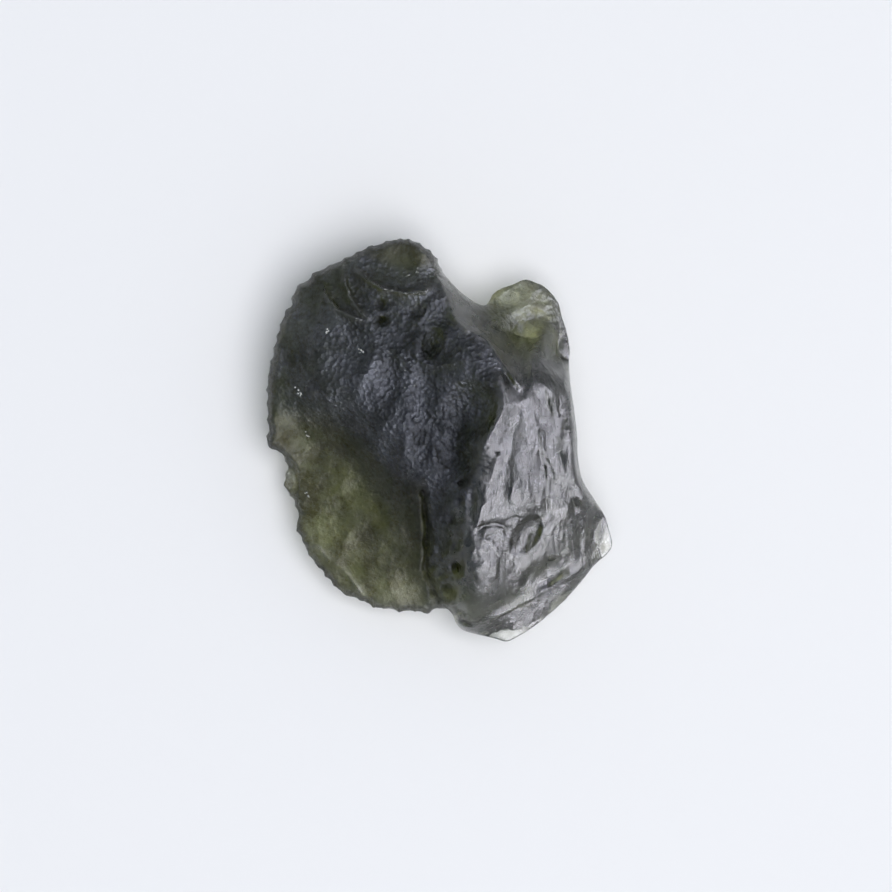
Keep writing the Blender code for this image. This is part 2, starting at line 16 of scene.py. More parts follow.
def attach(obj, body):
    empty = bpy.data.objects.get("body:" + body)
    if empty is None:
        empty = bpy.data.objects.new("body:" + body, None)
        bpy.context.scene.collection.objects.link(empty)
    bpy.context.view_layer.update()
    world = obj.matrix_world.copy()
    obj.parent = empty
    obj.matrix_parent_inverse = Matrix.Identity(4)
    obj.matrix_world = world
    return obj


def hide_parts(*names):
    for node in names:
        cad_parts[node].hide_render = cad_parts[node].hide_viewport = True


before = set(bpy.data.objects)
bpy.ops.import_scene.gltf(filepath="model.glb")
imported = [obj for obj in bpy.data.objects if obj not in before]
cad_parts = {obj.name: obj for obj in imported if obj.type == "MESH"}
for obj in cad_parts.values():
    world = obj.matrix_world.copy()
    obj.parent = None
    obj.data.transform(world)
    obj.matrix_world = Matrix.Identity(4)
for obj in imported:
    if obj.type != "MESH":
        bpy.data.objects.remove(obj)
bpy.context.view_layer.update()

MM = 0.001

# Driving dimensions
LENGTH = 15.0
WIDTH = 12.9
THICKNESS = 6.9

# Spacing of the mesh on the front and the back, and of the first points along the rim. Each triangle
# is split into four in the end.
FRONT_FINE = 0.056
BACK_FINE = 0.10
RIM_STEP = 0.10

# Widths over which the front and the back turn over to meet the rim, and the rings of points in the
# narrower of them, in degrees round its edge
RIM_ROUND = 0.32
BACK_ROUND = 1.7
RIM_RING_ANGLES = (15, 30, 45, 60, 75)

# The sides that a point can belong to, and in how many blocks the points are worked through
RIM, FRONT, BACK = 0, 1, 2
BLOCKS = 20

# The picture in pixels, the metres that a pixel covers at the stone's edge, and that edge's height
PICTURE_SIDE = 892
PICTURE_LENGTH = 402.5
STONE_MIDDLE = (438.5, 439.75)
PIXEL = LENGTH / PICTURE_LENGTH * MM
EDGE_HEIGHT = 0.002

# The outline seen from the front, anticlockwise from the notch beside the knob. Each point has the
# height of the thin edge there: (x, y, height above the surface).
OUTLINE = (
    (1.55, 5.0, 2.5), (0.9, 5.4, 2.6), (0.43, 5.87, 2.7), (0.08, 6.4, 2.7), (-0.1, 6.82, 2.7),
    (-0.65, 7.27, 2.7), (-1.32, 7.49, 2.7), (-2.25, 7.28, 2.6), (-2.95, 7.03, 2.5), (-3.75, 6.64, 2.4),
    (-4.25, 6.4, 2.4), (-4.62, 6.22, 2.4), (-4.84, 5.98, 2.3), (-5.22, 5.78, 2.3), (-5.46, 5.4, 2.3),
    (-5.5, 5.02, 2.3), (-5.74, 4.76, 2.2), (-5.97, 4.2, 2.2), (-6.2, 3.3, 2.1), (-6.37, 2.35, 2.1),
    (-6.43, 1.6, 2.1), (-6.45, 0.95, 2.0), (-6.38, 0.35, 2.0), (-6.46, -0.12, 1.9), (-6.22, -0.42, 1.8),
    (-5.88, -0.6, 1.6), (-5.8, -0.8, 1.4), (-5.7, -1.13, 1.3), (-5.84, -1.62, 1.3), (-5.7, -1.95, 1.4),
    (-5.44, -2.35, 1.5), (-5.3, -2.85, 1.5), (-5.39, -3.24, 1.5), (-5.18, -3.75, 1.5),
    (-5.02, -4.12, 1.4), (-4.74, -4.56, 1.4), (-4.32, -5.08, 1.4), (-3.98, -5.42, 1.3),
    (-3.66, -5.74, 1.3), (-3.24, -5.93, 1.3), (-2.76, -6.12, 1.3), (-2.32, -6.33, 1.3),
    (-1.8, -6.4, 1.3), (-1.35, -6.49, 1.3), (-0.98, -6.45, 1.3), (-0.5, -6.55, 1.3), (-0.08, -6.37, 1.3),
    (0.25, -6.33, 1.2), (0.5, -6.5, 1.4), (0.66, -6.88, 1.4), (0.97, -7.14, 1.5), (1.55, -7.28, 2.0),
    (2.12, -7.4, 2.3), (2.5, -7.5, 2.3), (2.85, -7.37, 2.3), (3.42, -7.03, 2.3), (4.15, -6.45, 2.3),
    (4.83, -5.82, 2.3), (5.42, -5.12, 2.3), (5.86, -4.6, 2.25), (6.24, -4.27, 2.35), (6.44, -3.92, 2.45),
    (6.31, -3.28, 2.55), (6.08, -2.68, 2.55), (5.71, -2.12, 2.2), (5.33, -1.48, 2.2), (5.16, -0.68, 2.5),
    (5.12, 0.2, 2.6), (5.02, 1.1, 2.6), (4.89, 2.04, 2.5), (4.84, 2.85, 2.4), (4.86, 3.4, 2.3),
    (4.77, 3.95, 2.2), (4.6, 4.55, 2.1), (4.42, 5.12, 2.0), (4.12, 5.54, 2.1), (3.66, 5.82, 2.1),
    (3.18, 5.95, 2.1), (2.78, 5.8, 2.1), (2.36, 5.64, 2.1), (2.02, 5.38, 2.2), (1.84, 5.09, 2.3),
)

# Heights of the front at landmarks: (x, y, height). The surface runs smoothly through them.
FRONT_LANDMARKS = (
    # just inside the left and upper edge
    (-6.05, 0.0, 3.0), (-6.1, 1.85, 3.3), (-5.75, 3.7, 3.5), (-4.95, 5.3, 3.8), (-3.5, 6.4, 4.2),
    (-1.4, 7.05, 4.5), (-0.3, 6.6, 4.5),
    # just inside the thin lower left plate
    (-5.3, -2.2, 2.2), (-4.65, -4.0, 2.1), (-3.45, -5.4, 2.0), (-1.45, -6.05, 2.1), (-0.25, -5.9, 2.3),
    # the plate itself
    (-5.2, 0.2, 2.6), (-3.9, 0.0, 2.9), (-2.8, -0.9, 3.1), (-1.8, -1.9, 3.3), (-4.1, -1.3, 2.7),
    (-3.3, -3.3, 2.5), (-1.8, -4.4, 2.8), (-1.1, -2.9, 3.4), (-0.9, -4.1, 3.1),
    # the step above the plate
    (-4.8, 1.6, 4.1), (-3.6, 1.3, 4.6), (-2.4, 0.5, 4.9), (-1.2, -0.7, 5.0), (-0.6, -1.4, 4.9),
    # the scalloped upper left
    (-4.4, 3.7, 4.6), (-3.3, 5.2, 4.7), (-1.8, 4.45, 5.2), (-2.2, 2.0, 5.3),
    # the middle
    (-0.3, 2.2, 5.5), (-0.1, 0.2, 5.3), (0.05, 4.45, 5.4), (0.8, -0.5, 5.4), (0.5, -2.0, 5.2),
    (0.45, -3.4, 4.9), (0.7, -4.7, 4.7),
    # the crest beside the neck
    (-0.1, 6.0, 4.5), (0.3, 5.2, 4.9), (0.85, 4.2, 5.4), (1.75, 3.6, 5.4), (2.3, 2.8, 5.7),
    (3.0, 1.9, 6.1),
    # the flank that falls from that crest to the notch
    (0.75, 5.25, 3.9), (1.36, 4.85, 3.7), (1.75, 4.2, 4.2),
    # the knob and its neck
    (3.05, 5.0, 2.8), (2.35, 5.2, 2.4), (2.5, 4.45, 3.2), (3.95, 5.0, 2.6), (3.95, 4.25, 2.9),
    (3.25, 3.8, 2.9), (4.35, 3.35, 2.8), (2.35, 3.55, 4.3), (2.85, 2.85, 5.0), (3.4, 3.3, 4.2),
    # the upper end of the glossy ridge
    (3.95, 3.6, 3.9), (3.6, 2.95, 4.9), (4.35, 2.4, 4.8), (4.7, 2.4, 4.2),
    # the crest of the glossy ridge
    (2.35, 1.0, 6.5), (2.3, 0.0, 6.5), (2.2, -1.5, 6.25), (2.1, -3.0, 5.75), (1.25, -3.9, 5.7),
    (2.2, -3.9, 5.3), (1.3, -4.7, 5.4), (2.1, -4.7, 5.1), (1.3, -5.5, 4.7), (2.2, -5.5, 4.4),
    (1.15, -6.4, 3.7),
    # its left shoulder
    (1.45, -0.4, 6.35), (1.22, -1.6, 6.2), (1.12, -2.8, 5.9),
    # its right flank
    (3.4, 0.9, 6.1), (3.4, -0.7, 6.1), (3.3, -2.0, 5.9), (4.1, 0.9, 5.7), (4.1, -0.7, 5.7),
    (4.15, -2.0, 5.4), (4.65, 0.9, 5.4), (4.7, -0.7, 5.5), (4.95, -2.0, 5.0), (3.95, -2.8, 5.0),
    (4.55, -3.75, 4.2), (5.1, -3.0, 4.2), (5.25, -3.9, 3.4), (5.95, -3.35, 2.6), (6.0, -3.9, 2.5),
    (2.75, -5.0, 4.4), (4.15, -4.9, 3.6), (3.2, -5.4, 3.8),
    # the crest above the chipped facet at the lower right
    (5.65, -4.45, 2.8), (4.53, -5.23, 3.2), (3.6, -5.8, 3.3), (2.48, -6.4, 3.3), (1.36, -6.87, 2.9),
)

# Heights of the back, which faces the surface that the stone lies on.
BACK_LANDMARKS = (
    (0.9, -0.6, -0.45), (-0.3, 0.8, 0.0), (2.4, -1.2, 0.05), (0.9, -2.4, 0.05), (1.2, 1.6, 0.1),
    (-1.2, -1.2, 0.15), (-5.9, 1.2, 0.62), (-5.4, -2.4, 0.62), (-5.55, -1.3, 0.81), (-4.5, -4.2, 0.59),
    (-3.0, -5.6, 0.56), (-1.2, -6.0, 0.53), (-3.0, -2.6, 0.5), (-4.2, 0.2, 0.5), (-4.3, 3.2, 0.56),
    (-4.4, 5.4, 0.81), (-2.0, 4.6, 0.5), (-1.3, 6.9, 0.78), (0.2, 5.6, 0.87), (2.4, 3.6, 1.45),
    (3.2, 5.2, 1.4), (4.3, 3.8, 1.2), (4.5, 1.2, 0.62), (4.6, -1.4, 0.5), (5.8, -3.5, 2.05),
    (3.6, -4.2, 0.5), (5.2, -4.6, 1.5), (3.4, -6.2, 1.4), (4.4, -5.7, 2.0), (2.3, -6.9, 2.0),
    (0.7, -5.6, 0.43),
)

# Hollows with a crisp rim: (x, y, half length, half width, turn in degrees, depth)
FRONT_SCOOPS = (
    # the shallow dish at the top end
    (-1.5, 6.35, 1.6, 0.95, -11, 0.34),
    # overlapping scallops beside the dish
    (-3.0, 5.3, 1.0, 0.42, -71, 0.14),
    (-3.75, 5.45, 0.95, 0.5, -69, 0.18),
    (-4.8, 4.85, 0.85, 0.58, -50, 0.14),
    # broad bowls of the upper left
    (-3.25, 3.35, 1.2, 0.88, 80, 0.22),
    (-5.25, 3.5, 1.1, 0.6, 80, 0.14),
    (-5.35, 1.5, 1.1, 0.6, 86, 0.12),
    (-3.4, 1.6, 0.8, 0.55, 60, 0.14),
    # troughs that run down through the middle
    (-1.8, 2.05, 1.55, 0.45, 88, 0.13),
    (-0.5, 1.6, 1.05, 0.48, 82, 0.11),
    (-2.5, 0.55, 0.85, 0.42, 60, 0.08),
    (-1.7, -0.4, 0.85, 0.42, 75, 0.1),
    (-0.65, -0.4, 0.9, 0.4, 85, 0.1),
    # the deep hole and the small holes round it
    (-0.2, 3.52, 0.62, 0.44, 75, 0.36),
    (-2.1, 4.95, 0.36, 0.28, 80, 0.15),
    (-2.05, 4.38, 0.3, 0.26, 0, 0.2),
    (-0.85, 4.7, 0.45, 0.34, 20, 0.14),
    # the hollow that undercuts the ridge on its left
    (1.1, 1.05, 1.15, 1.02, 70, 0.6),
    (0.85, -0.9, 0.8, 0.55, 60, 0.2),
    # the small holes and the fissure down the left of the ridge
    (0.9, -1.6, 0.34, 0.26, 20, 0.25),
    (1.25, -2.3, 0.85, 0.3, 84, 0.16),
    (0.7, -2.7, 0.55, 0.34, 70, 0.14),
    # the hollow across the foot of the ridge
    (3.2, -3.5, 0.85, 0.5, 58, 0.36),
    # the smooth patch on the swelling at the foot of the ridge
    (1.55, -4.35, 0.5, 0.36, 15, 0.06),
    # flutes down the right flank
    (3.8, 1.1, 1.15, 0.36, -80, 0.14),
    (4.55, 1.6, 1.6, 0.3, 88, 0.14),
    (3.6, -1.2, 0.9, 0.36, 80, 0.12),
    (4.45, -1.9, 0.65, 0.4, -70, 0.14),
    (5.15, -2.6, 0.6, 0.34, -55, 0.14),
    # the flat between the ridge's foot and the chipped facet
    (3.85, -4.95, 1.05, 0.52, 28, 0.2),
    # hollows between the lumps of the knob
    (2.55, 5.15, 0.5, 0.38, 30, 0.14),
    (3.6, 4.55, 0.62, 0.36, -25, 0.16),
    (3.85, 5.25, 0.42, 0.34, 10, 0.12),
    # the chip out of the left edge
    (-5.6, -1.32, 0.85, 0.46, 104, 1.15),
    # holes at the foot of the groove
    (0.1, -4.0, 0.36, 0.26, 70, 0.22),
    (0.7, -4.7, 0.42, 0.3, 80, 0.3),
    (0.4, -5.6, 0.4, 0.34, 60, 0.32),
    (0.72, -6.35, 0.36, 0.3, 40, 0.3),
)

# The lower lip of the dish and the lips of the scallops beside it: points along the crest
DISH_LIP = ((-3.1, 6.4), (-2.75, 5.95), (-2.0, 5.5), (-1.25, 5.36), (-0.5, 5.4), (-0.05, 5.8))
NEAR_LIP = ((-3.48, 6.3), (-3.42, 5.75), (-3.2, 5.2), (-2.85, 4.65), (-2.45, 4.35))
FAR_LIP = ((-4.23, 5.85), (-4.12, 5.28), (-3.67, 4.76), (-3.1, 4.46), (-2.6, 4.3))

# Raised lines: (height, half width, points along the crest)
FRONT_RIDGES = (
    (0.22, 0.18, DISH_LIP),
    (0.22, 0.2, NEAR_LIP),
    (0.24, 0.2, FAR_LIP),
    # the low lip between the broad bowls
    (0.08, 0.28, ((-4.23, 4.1), (-4.5, 3.35), (-4.38, 2.4), (-3.86, 1.55))),
    # textured ridges between the troughs
    (0.11, 0.3, ((-2.18, 3.6), (-2.4, 2.9), (-2.85, 2.05), (-3.15, 1.05))),
    (0.11, 0.26, ((-1.5, 3.35), (-1.17, 2.86), (-0.76, 2.3))),
    (0.11, 0.28, ((-1.25, 1.75), (-1.14, 1.05), (-1.17, 0.2), (-1.38, -1.0))),
    (0.1, 0.28, ((0.06, 2.67), (0.28, 2.04), (0.32, 1.3))),
    (0.14, 0.25, ((-0.24, 0.05), (-0.1, -1.1))),
    # the rim of the deep hole
    (0.14, 0.2, ((-1.06, 3.55), (-0.76, 2.95), (-0.2, 2.6), (0.48, 2.8), (0.72, 3.35))),
    # the crest that falls from the dish to the ridge
    (0.3, 0.2, ((-0.1, 6.1), (0.32, 5.2), (0.6, 4.4), (1.0, 4.02), (1.75, 3.64), (2.3, 2.8), (3.05, 1.8))),
    # the smooth lip along the left of the ridge
    (0.3, 0.34, ((1.75, 2.3), (2.3, 2.1), (2.4, 1.2), (1.95, 0.3), (1.45, -0.6))),
    # the crest above the chipped facet at the lower right
    (0.18, 0.22, ((1.2, -6.85), (2.48, -6.45), (3.6, -5.85), (4.53, -5.25), (5.65, -4.48))),
    # the crease round the bulge in the right edge
    (0.14, 0.2, ((5.2, -1.9), (5.45, -2.8), (5.5, -4.3))),
    # the bevel of the lower left edge
    (0.1, 0.16, ((-5.05, -3.9), (-4.2, -4.3), (-3.4, -5.0), (-2.7, -5.9))),
)

# Sunk lines: (depth, half width, points along the bottom)
FRONT_GROOVES = (
    # the deep groove between the thin plate and the ridge
    (0.34, 0.13, ((-0.6, -1.6), (-0.5, -2.2), (-0.42, -3.7), (-0.48, -4.8), (-0.15, -5.6), (0.05, -6.9))),
    # the crease under the knob
    (0.08, 0.14, ((2.0, 4.2), (2.72, 4.0), (3.22, 3.8), (3.85, 3.78))),
    # the fold across the foot of the ridge
    (0.14, 0.18, ((1.2, -3.5), (1.7, -3.15), (2.35, -3.1), (2.8, -3.6))),
    # the furrow between the smooth lip and the middle of the ridge
    (0.12, 0.26, ((2.8, 0.6), (2.65, -0.3), (2.42, -1.3))),
    # the dark furrow down the right flank
    (0.2, 0.22, ((3.8, 1.9), (4.15, 0.7), (4.45, -0.6), (4.8, -1.9), (5.15, -2.9))),
    # the fissure that ends at the small hole
    (0.16, 0.14, ((1.3, -1.6), (1.15, -2.7), (1.35, -3.4))),
)

# Flat chips off the front: (x, y, height there, direction of the fall in degrees, slope)
FRONT_CHIPS = ((2.48, -6.42, 3.1, -61.8, 0.8),)

# Where the weathered left and middle give way to the glossy ridge: (x, y) from the top end down
GLOSS_EDGE = (
    (-0.2, 7.5), (-0.13, 6.1), (0.32, 5.2), (0.6, 4.4), (1.6, 3.7), (2.25, 3.0), (2.2, 1.5), (1.55, 0.0),
    (1.2, -2.2), (0.6, -3.7), (0.45, -7.5),
)

# Scallops by rule: (size of one, depth, turn in degrees, how much longer than wide)
WEATHERED_SCALLOPS = (0.95, 0.15, 70, 1.3)
GLOSSY_SCALLOPS = (0.95, 0.14, 80, 2.0)
BACK_SCALLOPS = (1.35, 0.42, 55, 1.4)

# Hollows of the back: (x, y, half length, half width, turn in degrees, depth)
BACK_SCOOPS = (
    (-3.6, 3.9, 1.3, 0.9, 40, 0.45),
    (-4.9, 1.8, 1.1, 0.75, 80, 0.35),
    (-1.5, 4.9, 1.2, 0.8, -20, 0.45),
    (-3.1, 0.9, 1.2, 0.85, 20, 0.4),
    (-4.7, -1.3, 0.95, 0.7, 60, 0.3),
    (-3.0, -3.6, 1.25, 0.85, -40, 0.35),
    (-1.1, -4.6, 1.0, 0.7, 30, 0.4),
    (0.6, 3.6, 1.0, 0.75, 70, 0.45),
    (2.7, 2.1, 1.15, 0.75, 50, 0.45),
    (3.9, -0.1, 1.1, 0.7, 85, 0.4),
    (3.8, -3.0, 1.1, 0.8, -50, 0.4),
    (1.6, -4.8, 1.15, 0.8, 15, 0.45),
    (-2.0, 2.6, 0.8, 0.6, -60, 0.35),
    (3.1, 4.7, 0.8, 0.6, 30, 0.35),
    (-2.1, -1.5, 0.8, 0.55, 75, 0.25),
)

# Sunk lines of the back: (depth, half width, points along the bottom)
BACK_GROOVES = (
    (0.35, 0.35, ((-4.9, 4.4), (-2.8, 2.2), (-2.4, -0.4))),
    (0.4, 0.32, ((1.2, 4.6), (1.9, 3.0), (3.6, 1.2))),
    (0.35, 0.34, ((-2.2, -5.4), (-0.6, -3.4), (1.2, -3.9), (3.0, -5.6))),
)

# Rules of the relief: the least step from the rim to either face, the width over which the glossy
# skin begins, and where the middle of a scallop may lie in its cell of a pattern that repeats
LEAST_STEP = 0.15
GLOSS_BLEND = 0.5
CELL_MARGIN = 0.15
PATTERN_CELLS = 64

# A line's foot in half widths, the power of its profile, and how far it fades at its ends
LINE_FOOT = 1.6
LINE_POWER = 1.5
LINE_FADE = 0.45
FADED_SHARE = 0.25

# How finely the outline is traced, and how close the rings and the grid may come to it
CURVE_STEPS = 24
RING_CLEARANCE = 0.9
GRID_CLEARANCE = 0.8

# Fine relief by rule, coarse to fine: (size of one, depth, turn in degrees, how much longer than wide)
WEATHERED_FINE = ((0.5, 0.075, 65, 1.25), (0.24, 0.060, 80, 1.2))
GLOSSY_FINE = ((0.52, 0.060, 76, 1.6), (0.26, 0.034, 70, 1.5), (0.13, 0.018, 80, 1.6))
PLATE_FINE = ((0.6, 0.045, 50, 1.2), (0.3, 0.030, 20, 1.2))
KNOB_FINE = ((0.7, 0.12, 20, 1.1), (0.32, 0.06, 60, 1.2))
PITTED_FINE = ((0.55, 0.16, 60, 1.3), (0.27, 0.09, 80, 1.2))
WALL_PITS = ((0.55, 0.1), (0.27, 0.045))
BACK_FINE_SCALLOPS = ((0.6, 0.13, 40, 1.3), (0.28, 0.07, 80, 1.3))

# The lower edge of the thick weathered part, above the thin plate: (x, y)
STEP_EDGE = ((-7.0, 1.1), (-5.9, 1.1), (-4.04, 0.74), (-2.93, 0.0), (-1.43, -1.5), (-0.5, -1.7), (0.5, -1.9))

# Where the fine relief fades: (x, y, half length, half width, turn in degrees)
SMOOTH_PATCHES = (
    (-1.6, 6.4, 1.7, 1.0, -11),
    (-3.25, 3.35, 1.1, 0.85, 80),
    (2.95, 3.05, 0.9, 0.6, 70),
    (2.35, 1.2, 0.8, 0.3, 80),
)

# The upper half of the dish, where the skin is as green as on the plate
OLIVE_PATCH = (-1.35, 6.8, 1.45, 0.6, -8)

# Small pits: (x, y, half length, half width, turn in degrees, depth)
FINE_PITS = (
    # the dark hole on the left of the ridge, with its bright upper lip
    (0.88, -1.58, 0.2, 0.13, 15, 0.28),
    # small holes in the smooth lip
    (2.12, -0.5, 0.1, 0.08, 0, 0.12),
    (1.75, -0.28, 0.09, 0.07, 0, 0.08),
    # the holes near the scallops
    (-2.07, 4.39, 0.15, 0.12, 0, 0.25),
    (-2.14, 4.98, 0.2, 0.15, 80, 0.12),
    # bites out of the groove's sides
    (-0.62, -1.95, 0.16, 0.1, 70, 0.18),
    (-0.47, -2.75, 0.22, 0.1, 85, 0.2),
    (-0.36, -3.25, 0.14, 0.1, 60, 0.16),
    (-0.5, -3.85, 0.2, 0.12, 95, 0.2),
    (-0.46, -5.05, 0.18, 0.11, 75, 0.16),
    (-0.2, -5.75, 0.16, 0.12, 60, 0.16),
    # the string of glossy holes along the groove
    (-0.24, -4.67, 0.2, 0.16, 80, 0.25),
    (0.66, -4.7, 0.26, 0.18, 85, 0.3),
    (0.35, -5.55, 0.26, 0.2, 60, 0.28),
    (0.64, -6.3, 0.3, 0.22, 10, 0.35),
    (1.0, -6.75, 0.3, 0.16, -20, 0.25),
    (0.1, -5.05, 0.16, 0.12, 60, 0.15),
    (0.62, -3.95, 0.22, 0.14, 70, 0.15),
    (0.5, -2.95, 0.2, 0.14, 70, 0.12),
    (0.8, -2.2, 0.22, 0.12, 80, 0.12),
)

# Specks of dust: (x, y, radius)
DUST = (
    (-4.04, 3.94, 0.07), (-2.81, 3.27, 0.06), (-5.16, 1.75, 0.08), (-5.08, 1.66, 0.05),
    (-4.86, 0.18, 0.05), (-4.86, -2.06, 0.05), (-0.76, 6.18, 0.045), (-1.1, 6.02, 0.035),
    (3.3, -5.35, 0.04),
)

# How the bottom of the deep groove wanders: (x, y)
GROOVE_BOTTOM = (
    (-0.66, -1.75), (-0.52, -2.05), (-0.55, -2.6), (-0.4, -3.1), (-0.47, -3.7), (-0.4, -4.3),
    (-0.52, -4.8), (-0.34, -5.2), (-0.3, -5.6), (0.02, -5.95), (0.08, -6.7),
)

# Fine sunk lines: (depth, half width, points along the bottom)
FINE_GROOVES = (
    (0.12, 0.09, GROOVE_BOTTOM),
    # wrinkles across the smooth lip
    (0.08, 0.045, ((1.25, -0.72), (1.45, -0.6), (1.75, -0.62), (1.95, -0.78))),
    (0.08, 0.045, ((1.2, -0.92), (1.45, -0.78), (1.75, -0.8), (1.95, -0.98))),
    (0.08, 0.045, ((1.15, -1.1), (1.45, -0.98), (1.7, -1.0), (1.9, -1.16))),
    (0.07, 0.045, ((1.1, -1.28), (1.4, -1.17), (1.65, -1.2), (1.8, -1.32))),
    # creases in the ridge
    (0.07, 0.06, ((3.55, -0.3), (3.95, -0.75), (4.18, -1.3), (4.1, -1.9), (3.85, -2.3))),
    (0.07, 0.05, ((3.6, -0.45), (3.85, -1.0), (3.92, -1.6), (3.98, -2.9))),
    (0.06, 0.05, ((4.1, 0.2), (4.3, -0.3), (4.4, -0.9), (4.35, -1.55))),
    (0.08, 0.06, ((1.25, -3.4), (1.6, -3.15), (2.1, -3.05), (2.4, -3.2), (2.6, -3.7))),
    (0.07, 0.05, ((2.3, -3.05), (2.75, -2.85), (3.2, -2.9))),
    (0.06, 0.05, ((1.25, -3.35), (1.75, -3.6), (2.2, -3.35))),
    (0.06, 0.05, ((1.05, -4.2), (1.25, -5.0), (1.6, -5.6))),
    # the crease under the knob
    (0.07, 0.06, ((2.2, 3.98), (2.74, 3.96), (3.22, 3.8), (3.8, 3.76))),
    # the thinnest part of the chip in the left edge
    (0.4, 0.18, ((-5.62, -1.0), (-5.58, -1.4), (-5.46, -1.95))),
    # short dashes in the plate
    (0.05, 0.04, ((-2.5, -1.98), (-2.15, -2.02))),
    (0.05, 0.04, ((-2.0, -2.27), (-1.7, -2.24))),
)

# Fine raised lines: (height, half width, points along the crest)
FINE_RIDGES = (
    # the low rib in the furrow down the right flank
    (0.11, 0.2, ((3.75, 1.95), (4.15, 0.7), (4.45, -0.6), (4.8, -1.9))),
    # the bright line on the crest above the neck
    (
        0.08,
        0.07,
        ((0.32, 5.2), (0.6, 4.4), (1.0, 4.02), (1.75, 3.66), (1.95, 3.35), (2.35, 2.75), (3.05, 1.8)),
    ),
    (0.1, 0.07, DISH_LIP),
    (0.08, 0.08, NEAR_LIP),
    (0.08, 0.08, FAR_LIP),
    # bevel lines of the lower left edge
    (0.05, 0.05, ((-4.95, -3.92), (-4.45, -4.02), (-4.1, -4.45), (-3.9, -4.8))),
    (0.05, 0.05, ((-3.5, -4.85), (-3.1, -5.4), (-2.75, -5.95))),
    # streaks down the flank
    (0.08, 0.07, ((3.45, 3.0), (3.38, 2.45), (3.42, 2.1))),
    (0.08, 0.06, ((4.0, 3.75), (4.22, 3.35))),
    (0.07, 0.08, ((4.2, 1.75), (4.3, 1.1), (4.42, 0.6))),
    (0.07, 0.07, ((3.62, 0.6), (3.8, 0.0), (3.85, -0.8))),
    (0.08, 0.06, ((3.55, -1.55), (3.62, -2.05))),
    (0.06, 0.05, ((4.45, -2.0), (4.75, -2.55), (5.3, -2.75))),
    (0.07, 0.06, ((5.3, -2.95), (5.42, -3.6), (5.35, -4.25))),
    # bright arcs on the swelling at the foot of the ridge
    (0.08, 0.08, ((1.5, -3.55), (1.95, -3.75), (2.25, -4.2))),
    (0.08, 0.08, ((2.05, -4.3), (2.15, -4.8), (2.0, -5.2))),
    # yellowish lumps on the left of the ridge
    (0.1, 0.12, ((0.75, -2.4), (0.62, -2.75), (0.75, -3.1))),
    (0.08, 0.12, ((0.4, -3.25), (0.6, -3.6))),
)

# Fine upright flow lines: (depth, spacing, sway, middle of the set, reach of the set)
STRIATIONS = (
    # in the bay beside the bulge
    (0.016, 0.19, 0.05, (4.5, -3.75), (0.75, 0.55)),
    # above the fold across the foot
    (0.007, 0.11, 0.0, (2.75, -2.35), (0.35, 0.5)),
)
SWAY_RATE = 3.1

# Where the plate begins below STEP_EDGE and ends on the right
PLATE_BLEND = 0.6
PLATE_END = -0.45
PLATE_END_BLEND = 0.2

# The knob, as (x, y), and the deeply pitted strip, along x. Its top end is (y, fade).
KNOB_MIDDLE = (3.2, 4.9)
KNOB_REACH = (1.6, 1.0)
STRIP_MIDDLE = 0.55
STRIP_HALF_WIDTH = 0.55
STRIP_TOP = (-1.2, 0.8)

# The strength of the etching: its mean, then patches of (share, wave along x, wave along y), where a
# wave is (rate, bend, rate of the bend, shift)
ETCHING_MEAN = 0.68
ETCHING_PATCHES = (
    (0.42, (1.9, 1.6, 1.3, 0.7), (1.5, 1.9, 1.1, 0.0)),
    (0.22, (4.3, 1.5, 3.1, 0.0), (3.7, 1.7, 2.9, 2.0)),
)

# How much of the fine relief the smooth patches take away, where it fades and what is left of it at
# the rim, how uneven its pits are, and the least step that it leaves at the rim
SMOOTHING = 0.85
RELIEF_INSET = 0.3
RIM_RELIEF = 0.15
FINE_VARIETY = 0.8
LEAST_FINE_STEP = 0.05

# Bites out of the left edge, which begin at (x, fade)
BITES = 90
BITE_WIDTHS = (0.32, 0.75)
BITE_DEPTH = 0.075
BITES_FROM = (0.6, 0.8)

# Pits of the steep walls, which begin where the upright part of the normal is at (share, fade) and
# leave the resting spot alone. Gloss takes most of them away.
WALL_CELLS = 32
WALL_VARIETY = 0.4
WALL_TILT = (0.75, 0.45)
REST_CLEARANCE = 0.1
REST_BLEND = 0.4
WALL_SMOOTHING = 0.8

# Painted shade, which darkens the glass in the groove (share, half width), in pits, and round the left
# rim from (x, fade) on, except at the clean chip in the edge
GROOVE_SHADE = (1.3, 0.2)
PIT_SHADE = 0.9
RIM_SHADE = 0.75
RIM_SHADE_WIDTH = 0.16
RIM_SHADE_FROM = (0.8, 0.8)
CHIP_MIDDLE = (-5.55, -1.55)
CHIP_RADIUS = 0.4
CHIP_STRETCH = 1.6

# Worn crests, in half widths, how much duller the knob is, and where the olive skin begins at the rim
WORN_WIDTH = 1.6
KNOB_DULLING = 0.6
OLIVE_INSET = 0.25

# Grains of a speck and their share of its radius, strewn grains and the least and most of their
# (x, y, radius), and how uneven a grain is
GRAINS_IN_SPECK = 4
GRAIN_SHARE = 0.6
STREWN_GRAINS = 45
STREWN_RANGE = ((-5.8, -1.5, 0.010), (1.2, 6.8, 0.024))
GRAIN_SHAPES = (0.7, 1.3)

# Roughness of the skin
DULL_ROUGHNESS = 0.46
GLOSSY_ROUGHNESS = 0.24
ROUGHNESS_SPREAD = 0.13

# Tints of what comes through the skin
WHITE = (1, 1, 1, 1)
BROWN = (0.28, 0.24, 0.13, 1)
# Painted shade, which darkens what comes through in the groove, the pits and round the left rim
PAINTED_SHADE_BODY = (0.2, 0.2, 0.21, 1)

# Tints of what the skin reflects
DULL = (0.76, 0.8, 0.9, 1)
WORN = (0.26, 0.28, 0.31, 1)
DULL_PLATE = (0.72, 0.72, 0.58, 1)
WORN_PLATE = (0.24, 0.24, 0.19, 1)
# Painted shade, which dims the reflections in the groove, the pits and round the left rim
PAINTED_SHADE_SHEEN = (0.25, 0.25, 0.27, 1)

# How far the etched pits wander off their pattern, and how the flow lines are drawn out
PIT_WANDER = (0.00012, 0.00012, 0.00012)
FLOW_STRETCH = (1.0, 0.28, 0.6)

